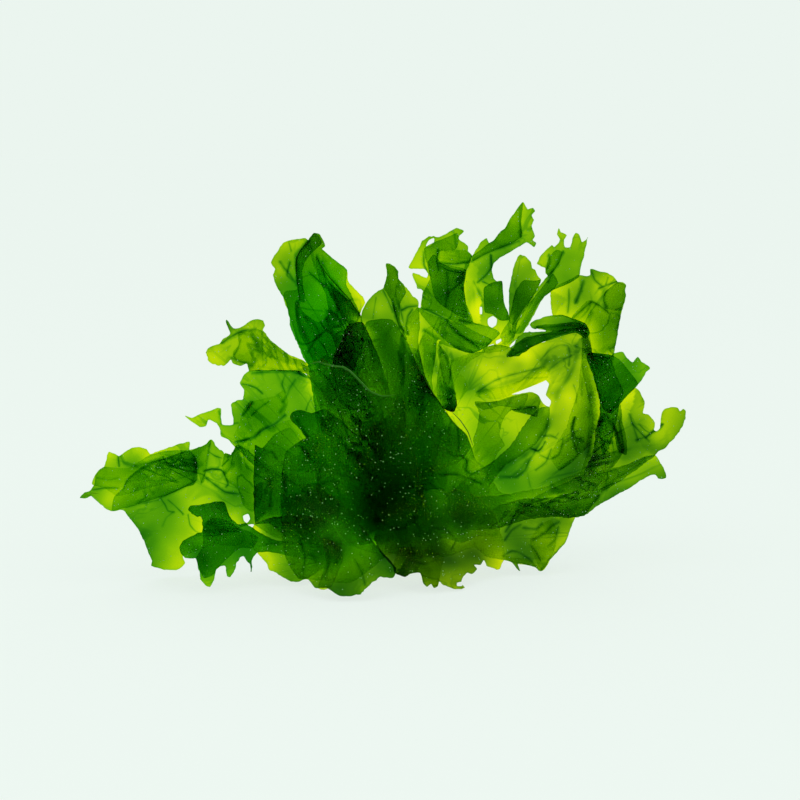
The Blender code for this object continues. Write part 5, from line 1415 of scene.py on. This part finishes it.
def add_blade(blade, seed):
    """A blade with its folds, thickened and dressed, in place of its solid."""
    settings = bpy.context.scene.sea_lettuce_blades
    rim = toothed(smooth_ring(blade.outline), settings.tooth, seed)
    room = free_room(blade)
    shape = bmesh.new()
    shape.verts.layers.float.new("tone")
    shape.verts.layers.float.new("bite")
    shape.loops.layers.uv.new("flat")
    shape.loops.layers.uv.new("fan")
    for sheet in SHEETS:
        if sheet.blade is not blade:
            continue
        if sheet.fold < len(blade.folds) and blade.fold_tones[sheet.fold] is None:
            continue
        sheet_mesh(shape, sheet, rim, room, settings, seed)
    bmesh.ops.recalc_face_normals(shape, faces=shape.faces)
    piece = new_object(blade.name + "_skin", shape)
    wall = piece.modifiers.new("wall", "SOLIDIFY")
    wall.thickness = settings.thickness
    wall.offset = 0
    bpy.ops.object.modifier_apply(modifier=wall.name)
    piece.data.materials.append(blade_material())
    if blade.ridges:
        add_ridges(piece, blade, rim, room, seed)
        piece.data.materials.append(dull_material("rolled margin", RIDGE_COLOUR, RIDGE_ROUGHNESS))
    piece.data.shade_smooth()
    piece.data.set_sharp_from_angle(angle=SHARP_ANGLE)
    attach(piece, "root")
    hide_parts(blade.name)
    return piece


def add_ridges(piece, blade, rim, room, seed):
    """The rolled margins of a blade that catch the light: slim tapered tubes along its front."""
    settings = bpy.context.scene.sea_lettuce_blades
    ahead = view_axes()[0]
    own = [sheet for sheet in SHEETS if sheet.blade is blade][-1]
    shape = bmesh.new()
    shape.from_mesh(piece.data)
    for width, drawn in blade.ridges:
        line = smooth_ring(drawn, closed=False)
        depth = read_field(own.field, line) + family_shape(line, rim, room, settings, seed)
        middles = placed(line[:, 0], line[:, 1], depth - width * SQUARE * RIDGE_LIFT)
        share = np.linspace(0, 1, len(line))
        bulge = np.sin(math.pi * share) ** RIDGE_BULGE
        radius = width * SQUARE * (RIDGE_TIP + RIDGE_MIDDLE * bulge)
        across = np.cross(np.gradient(middles, axis=0), ahead)
        across /= np.linalg.norm(across, axis=1)[:, None]
        loops = []
        for middle, side, size in zip(middles, across, radius):
            loop = []
            for turn in range(RIDGE_SIDES):
                angle = 2 * math.pi * turn / RIDGE_SIDES
                outward = math.cos(angle) * side + math.sin(angle) * ahead
                loop.append(shape.verts.new(middle + size * outward))
            loops.append(loop)
        faces = [shape.faces.new(loops[0]), shape.faces.new(loops[-1])]
        for first, second in zip(loops, loops[1:]):
            for turn in range(RIDGE_SIDES):
                after = (turn + 1) % RIDGE_SIDES
                faces.append(shape.faces.new((first[turn], first[after], second[after], second[turn])))
        bmesh.ops.recalc_face_normals(shape, faces=faces)
        for face in faces:
            face.material_index = 1
    shape.to_mesh(piece.data)
    shape.free()


def new_finish(name):
    """A new material and its shader."""
    finish = bpy.data.materials.new(name)
    finish.use_nodes = True
    return finish, finish.node_tree.nodes["Principled BSDF"]


def dull_material(name, colour, roughness):
    """A plain dull finish."""
    if name in bpy.data.materials:
        return bpy.data.materials[name]
    finish, shader = new_finish(name)
    shader.inputs["Base Color"].default_value = (*colour, 1.0)
    shader.inputs["Roughness"].default_value = roughness
    return finish


def blade_material():
    """The wet, see-through finish of a blade: the more it absorbs, the deeper and purer its green."""
    name = "wet blade"
    if name in bpy.data.materials:
        return bpy.data.materials[name]
    settings = bpy.context.scene.sea_lettuce_blades
    finish, shader = new_finish(name)
    nodes, links = finish.node_tree.nodes, finish.node_tree.links
    shader.inputs["Transmission Weight"].default_value = 1.0
    shader.inputs["IOR"].default_value = LEAF_IOR

    def place(name, stretch):
        node = nodes.new("ShaderNodeUVMap")
        node.uv_map = name
        scaled = nodes.new("ShaderNodeVectorMath")
        scaled.operation = "MULTIPLY"
        scaled.inputs[1].default_value = stretch
        links.new(node.outputs["UV"], scaled.inputs[0])
        return scaled.outputs["Vector"]

    def noise(vector, scale, detail, roughness, distortion=0.0):
        node = nodes.new("ShaderNodeTexNoise")
        node.inputs["Scale"].default_value = scale
        node.inputs["Detail"].default_value = detail
        node.inputs["Roughness"].default_value = roughness
        node.inputs["Distortion"].default_value = distortion
        links.new(vector, node.inputs["Vector"])
        return node.outputs["Fac"]

    def spread(value, low, high, start=0.0, end=1.0):
        node = nodes.new("ShaderNodeMapRange")
        node.inputs["From Min"].default_value = start
        node.inputs["From Max"].default_value = end
        node.inputs["To Min"].default_value = low
        node.inputs["To Max"].default_value = high
        links.new(value, node.inputs["Value"])
        return node.outputs["Result"]

    def combine(operation, first, second=0.0):
        node = nodes.new("ShaderNodeMath")
        node.operation = operation
        for socket, value in zip(node.inputs, (first, second)):
            if isinstance(value, float):
                socket.default_value = value
            else:
                links.new(value, socket)
        return node.outputs[0]

    def painted_value(name):
        node = nodes.new("ShaderNodeAttribute")
        node.attribute_name = name
        return node.outputs["Fac"]

    def lines(vector, scale, width, distortion):
        pattern = noise(vector, scale, 3.0, 0.5, distortion)
        ridge = combine("ABSOLUTE", combine("SUBTRACT", pattern, 0.5))
        line = spread(ridge, 1.0, 0.0, 0.0, width)
        patch = spread(noise(vector, scale * 0.7, 1.0, 0.5), 0.0, 1.0, 0.45, 0.65)
        return combine("MULTIPLY", line, patch)

    flat = place("flat", (1.0, 1.0, 1.0))
    fan = place("fan", (4.5, 1.6, 1.0))
    parts = nodes.new("ShaderNodeSeparateXYZ")
    links.new(fan, parts.inputs[0])
    spread_out = spread(parts.outputs["Y"], 0.0, 1.0, 0.25, 0.6)
    clouds = noise(flat, scale=12.0, detail=2.0, roughness=0.5)
    clouds = spread(clouds, 1 - settings.mottle, 1 + settings.mottle)
    fan_lines = combine("MULTIPLY", lines(fan, scale=2.6, width=0.035, distortion=0.6), spread_out)
    veins = combine("MAXIMUM", fan_lines, lines(flat, scale=9.0, width=0.03, distortion=0.8))
    tone = painted_value("tone")
    vein_depth = combine("MINIMUM", combine("MULTIPLY", tone, VEIN_GROWTH), settings.vein)
    clouded = combine("MULTIPLY", tone, clouds)
    absorbed = combine("ADD", clouded, combine("MULTIPLY", veins, vein_depth))
    green = combine("POWER", LEAF_GREEN, absorbed)
    red = combine("POWER", green, painted_value("bite"))
    colour = nodes.new("ShaderNodeCombineColor")
    colour.inputs["Blue"].default_value = LEAF_BLUE
    links.new(red, colour.inputs["Red"])
    links.new(green, colour.inputs["Green"])
    links.new(colour.outputs["Color"], shader.inputs["Base Color"])
    grain = noise(flat, scale=110.0, detail=4.0, roughness=0.55)
    shader.inputs["Roughness"].default_value = 0.0
    bump = nodes.new("ShaderNodeBump")
    bump.inputs["Strength"].default_value = 0.02
    bump.inputs["Distance"].default_value = 0.0002
    links.new(grain, bump.inputs["Height"])
    links.new(bump.outputs["Normal"], shader.inputs["Normal"])
    return finish


def pale_material(name, colour, glow):
    """A plain pale finish that partly gives its own light."""
    finish, shader = new_finish(name)
    lit = [(1 - glow) * value for value in colour]
    own = [value * (1 - share) for value, share in zip(colour, lit)]
    shader.inputs["Base Color"].default_value = (*lit, 1.0)
    shader.inputs["Emission Color"].default_value = (*own, 1.0)
    shader.inputs["Emission Strength"].default_value = 1.0
    shader.inputs["Roughness"].default_value = 0.9
    shader.inputs["Specular IOR Level"].default_value = 0.0
    return finish


def backlit_world(colour, dimming):
    """A pale surround that glows through the blades and is dim in what they reflect."""
    world = bpy.data.worlds.new("pale backdrop")
    world.use_nodes = True
    nodes, links = world.node_tree.nodes, world.node_tree.links
    path = nodes.new("ShaderNodeLightPath")
    bounced = nodes.new("ShaderNodeMath")
    bounced.operation = "SUBTRACT"
    bounced.use_clamp = True
    links.new(path.outputs["Is Glossy Ray"], bounced.inputs[0])
    links.new(path.outputs["Is Transmission Ray"], bounced.inputs[1])
    strength = nodes.new("ShaderNodeMapRange")
    strength.inputs["To Min"].default_value = 1.0
    strength.inputs["To Max"].default_value = 1.0 - dimming
    links.new(bounced.outputs[0], strength.inputs["Value"])
    links.new(strength.outputs["Result"], nodes["Background"].inputs["Strength"])
    nodes["Background"].inputs["Color"].default_value = (*colour, 1.0)
    return world


class BladeGroup:
    """Builds the blades of one group."""

    bl_options = {"REGISTER", "UNDO"}
    names = ()

    def execute(self, context):
        if not SHEETS:
            SHEETS.extend(settled_sheets())
        for order, blade in enumerate(BLADES):
            if blade.name in self.names:
                add_blade(blade, SEED_STEP * order)
        return {"FINISHED"}


class SEALETTUCE_OT_front(BladeGroup, bpy.types.Operator):
    """Add the blades in front, which reach lowest"""

    bl_idname = "sealettuce.front"
    bl_label = "Front blades"
    names = ("front_bottom_blade", "fringe_blade", "star_blade", "bottom_left_strip", "pocket_blade")


class SEALETTUCE_OT_middle(BladeGroup, bpy.types.Operator):
    """Add the dark blades of the middle"""

    bl_idname = "sealettuce.middle"
    bl_label = "Middle blades"
    names = ("olive_blade", "square_blade", "small_pocket_blade", "crown_blade", "pointed_blade")


class SEALETTUCE_OT_left(BladeGroup, bpy.types.Operator):
    """Add the blades at the left"""

    bl_idname = "sealettuce.left"
    bl_label = "Left blades"
    names = ("tall_blade", "left_sheet_blade", "upper_left_blade", "left_blade")


class SEALETTUCE_OT_top(BladeGroup, bpy.types.Operator):
    """Add the curled and torn blades at the top"""

    bl_idname = "sealettuce.top"
    bl_label = "Top blades"
    names = ("curled_blade", "upper_middle_blade", "narrow_blade", "upper_right_frond", "right_top_blade")


class SEALETTUCE_OT_right(BladeGroup, bpy.types.Operator):
    """Add the blades at the right"""

    bl_idname = "sealettuce.right"
    bl_label = "Right blades"
    names = (
        "lower_right_band", "lower_right_blade", "dark_right_lobe", "right_lobe_blade", "strand_blade",
        "small_right_leaf", "vertical_leaf", "dark_fold_blade", "big_right_blade",
    )


class SEALETTUCE_OT_back(BladeGroup, bpy.types.Operator):
    """Add the blades behind the heart"""

    bl_idname = "sealettuce.back"
    bl_label = "Back blades"
    names = ("back_left_blade", "back_middle_blade", "back_right_blade")


class SEALETTUCE_OT_specks(bpy.types.Operator):
    """Add the bright specks of grit and bubbles that sit on the blades"""

    bl_idname = "sealettuce.specks"
    bl_label = "Bright specks"
    bl_options = {"REGISTER", "UNDO"}

    def execute(self, context):
        settings = context.scene.sea_lettuce_blades
        random = np.random.default_rng(SPECK_SEED)
        eye = VIEW_CENTRE - VIEW_DISTANCE * view_axes()[0]
        spots = []
        for blade in BLADES:
            mesh = bpy.data.objects[blade.name + "_skin"].data
            spots.append(spots_on(mesh, eye, settings.speck_gap, random))
        spots = np.concatenate(spots)
        bpy.ops.object.select_all(action="DESELECT")
        bpy.ops.mesh.primitive_ico_sphere_add(subdivisions=1, radius=1.0, location=(0, 0, 0))
        pattern = context.active_object
        ball = np.array([corner.co for corner in pattern.data.vertices])
        sides = np.array([face.vertices for face in pattern.data.polygons])
        bpy.data.objects.remove(pattern)
        sizes = settings.speck_size * random.uniform(LEAST_SPECK, 1.0, len(spots)) ** SPECK_SPREAD
        corners = spots[:, None] + ball[None] * sizes[:, None, None]
        faces = sides[None] + len(ball) * np.arange(len(spots))[:, None, None]
        mesh = bpy.data.meshes.new("bright_specks")
        mesh.from_pydata(corners.reshape(-1, 3).tolist(), [], faces.reshape(-1, 3).tolist())
        specks = bpy.data.objects.new("bright_specks", mesh)
        context.scene.collection.objects.link(specks)
        mesh.shade_smooth()
        mesh.materials.append(dull_material("bright speck", SPECK_COLOUR, SPECK_ROUGHNESS))
        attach(specks, "root")
        return {"FINISHED"}


def spots_on(mesh, eye, gap, random):
    """Random spots on the faces of a blade that look towards the viewer."""
    mesh.calc_loop_triangles()
    triangles = np.array([side.vertices for side in mesh.loop_triangles])
    places = np.array([corner.co for corner in mesh.vertices])[triangles]
    normals = np.cross(places[:, 1] - places[:, 0], places[:, 2] - places[:, 0])
    facing = -(normals * (places[:, 0] - eye)).sum(axis=1).clip(None, 0)
    shown = facing / np.linalg.norm(places[:, 0] - eye, axis=1) / 2
    count = int(shown.sum() / gap**2)
    picked = random.choice(len(triangles), count, p=shown / shown.sum())
    shares = random.dirichlet((1, 1, 1), count)
    return (places[picked] * shares[:, :, None]).sum(axis=1)


class SEALETTUCE_OT_stage(bpy.types.Operator):
    """Add the pale floor, the soft light and the camera"""

    bl_idname = "sealettuce.stage"
    bl_label = "Stage"
    bl_options = {"REGISTER", "UNDO"}

    def execute(self, context):
        scene = context.scene
        settings = scene.sea_lettuce_stage
        bpy.ops.mesh.primitive_plane_add(size=FLOOR_SIZE, location=(0, 0, 0))
        floor = context.active_object
        floor.name = "floor"
        finish = pale_material("pale floor", settings.backdrop, settings.floor_glow)
        floor.data.materials.append(finish)
        floor.visible_glossy = False
        scene.world = backlit_world(settings.backdrop, settings.front_dimming)
        ahead = view_axes()[0]
        for name, spot, size, power in SOFT_LIGHTS:
            light = bpy.data.lights.new(name, "AREA")
            light.size = size
            light.energy = power
            lamp = bpy.data.objects.new(name, light)
            lamp.location = spot
            lamp.rotation_euler = (LIGHT_TARGET - Vector(spot)).to_track_quat("-Z", "Y").to_euler()
            scene.collection.objects.link(lamp)
        eye = VIEW_CENTRE - VIEW_DISTANCE * ahead
        lens = bpy.data.cameras.new("camera")
        lens.lens = LENS
        lens.sensor_width = SENSOR
        camera = bpy.data.objects.new("camera", lens)
        camera.location = eye
        camera.rotation_euler = (math.pi / 2 - VIEW_TILT, 0.0, 0.0)
        scene.collection.objects.link(camera)
        scene.camera = camera
        scene.view_settings.view_transform = "Standard"
        scene.cycles.max_bounces = LAYER_BOUNCES
        scene.cycles.transmission_bounces = LAYER_BOUNCES
        return {"FINISHED"}


class SEALETTUCE_PT_panel(bpy.types.Panel):
    """Lists the pieces and their settings"""

    bl_label = "Sea Lettuce"
    bl_idname = "SEALETTUCE_PT_panel"
    bl_space_type = "VIEW_3D"
    bl_region_type = "UI"
    bl_category = "Sea Lettuce"

    def draw(self, context):
        for settings in (context.scene.sea_lettuce_blades, context.scene.sea_lettuce_stage):
            for name in settings.__annotations__:
                self.layout.prop(settings, name)
        for operator in OPERATORS:
            self.layout.operator(operator.bl_idname)


OPERATORS = (
    SEALETTUCE_OT_front,
    SEALETTUCE_OT_middle,
    SEALETTUCE_OT_left,
    SEALETTUCE_OT_top,
    SEALETTUCE_OT_right,
    SEALETTUCE_OT_back,
    SEALETTUCE_OT_specks,
    SEALETTUCE_OT_stage,
)
CLASSES = (BladeSettings, StageSettings, *OPERATORS, SEALETTUCE_PT_panel)


def register():
    """Make the settings, the operators and the panel known."""
    for kind in CLASSES:
        bpy.utils.register_class(kind)
    bpy.types.Scene.sea_lettuce_blades = bpy.props.PointerProperty(type=BladeSettings)
    bpy.types.Scene.sea_lettuce_stage = bpy.props.PointerProperty(type=StageSettings)


def unregister():
    """Take them away again."""
    del bpy.types.Scene.sea_lettuce_blades
    del bpy.types.Scene.sea_lettuce_stage
    for kind in reversed(CLASSES):
        bpy.utils.unregister_class(kind)


def main():
    """Build the clump and its stage."""
    register()
    bpy.ops.object.select_all(action="DESELECT")
    bpy.ops.sealettuce.front()
    bpy.ops.sealettuce.middle()
    bpy.ops.sealettuce.left()
    bpy.ops.sealettuce.top()
    bpy.ops.sealettuce.right()
    bpy.ops.sealettuce.back()
    bpy.ops.sealettuce.specks()
    bpy.ops.sealettuce.stage()


if __name__ == "__main__":
    main()
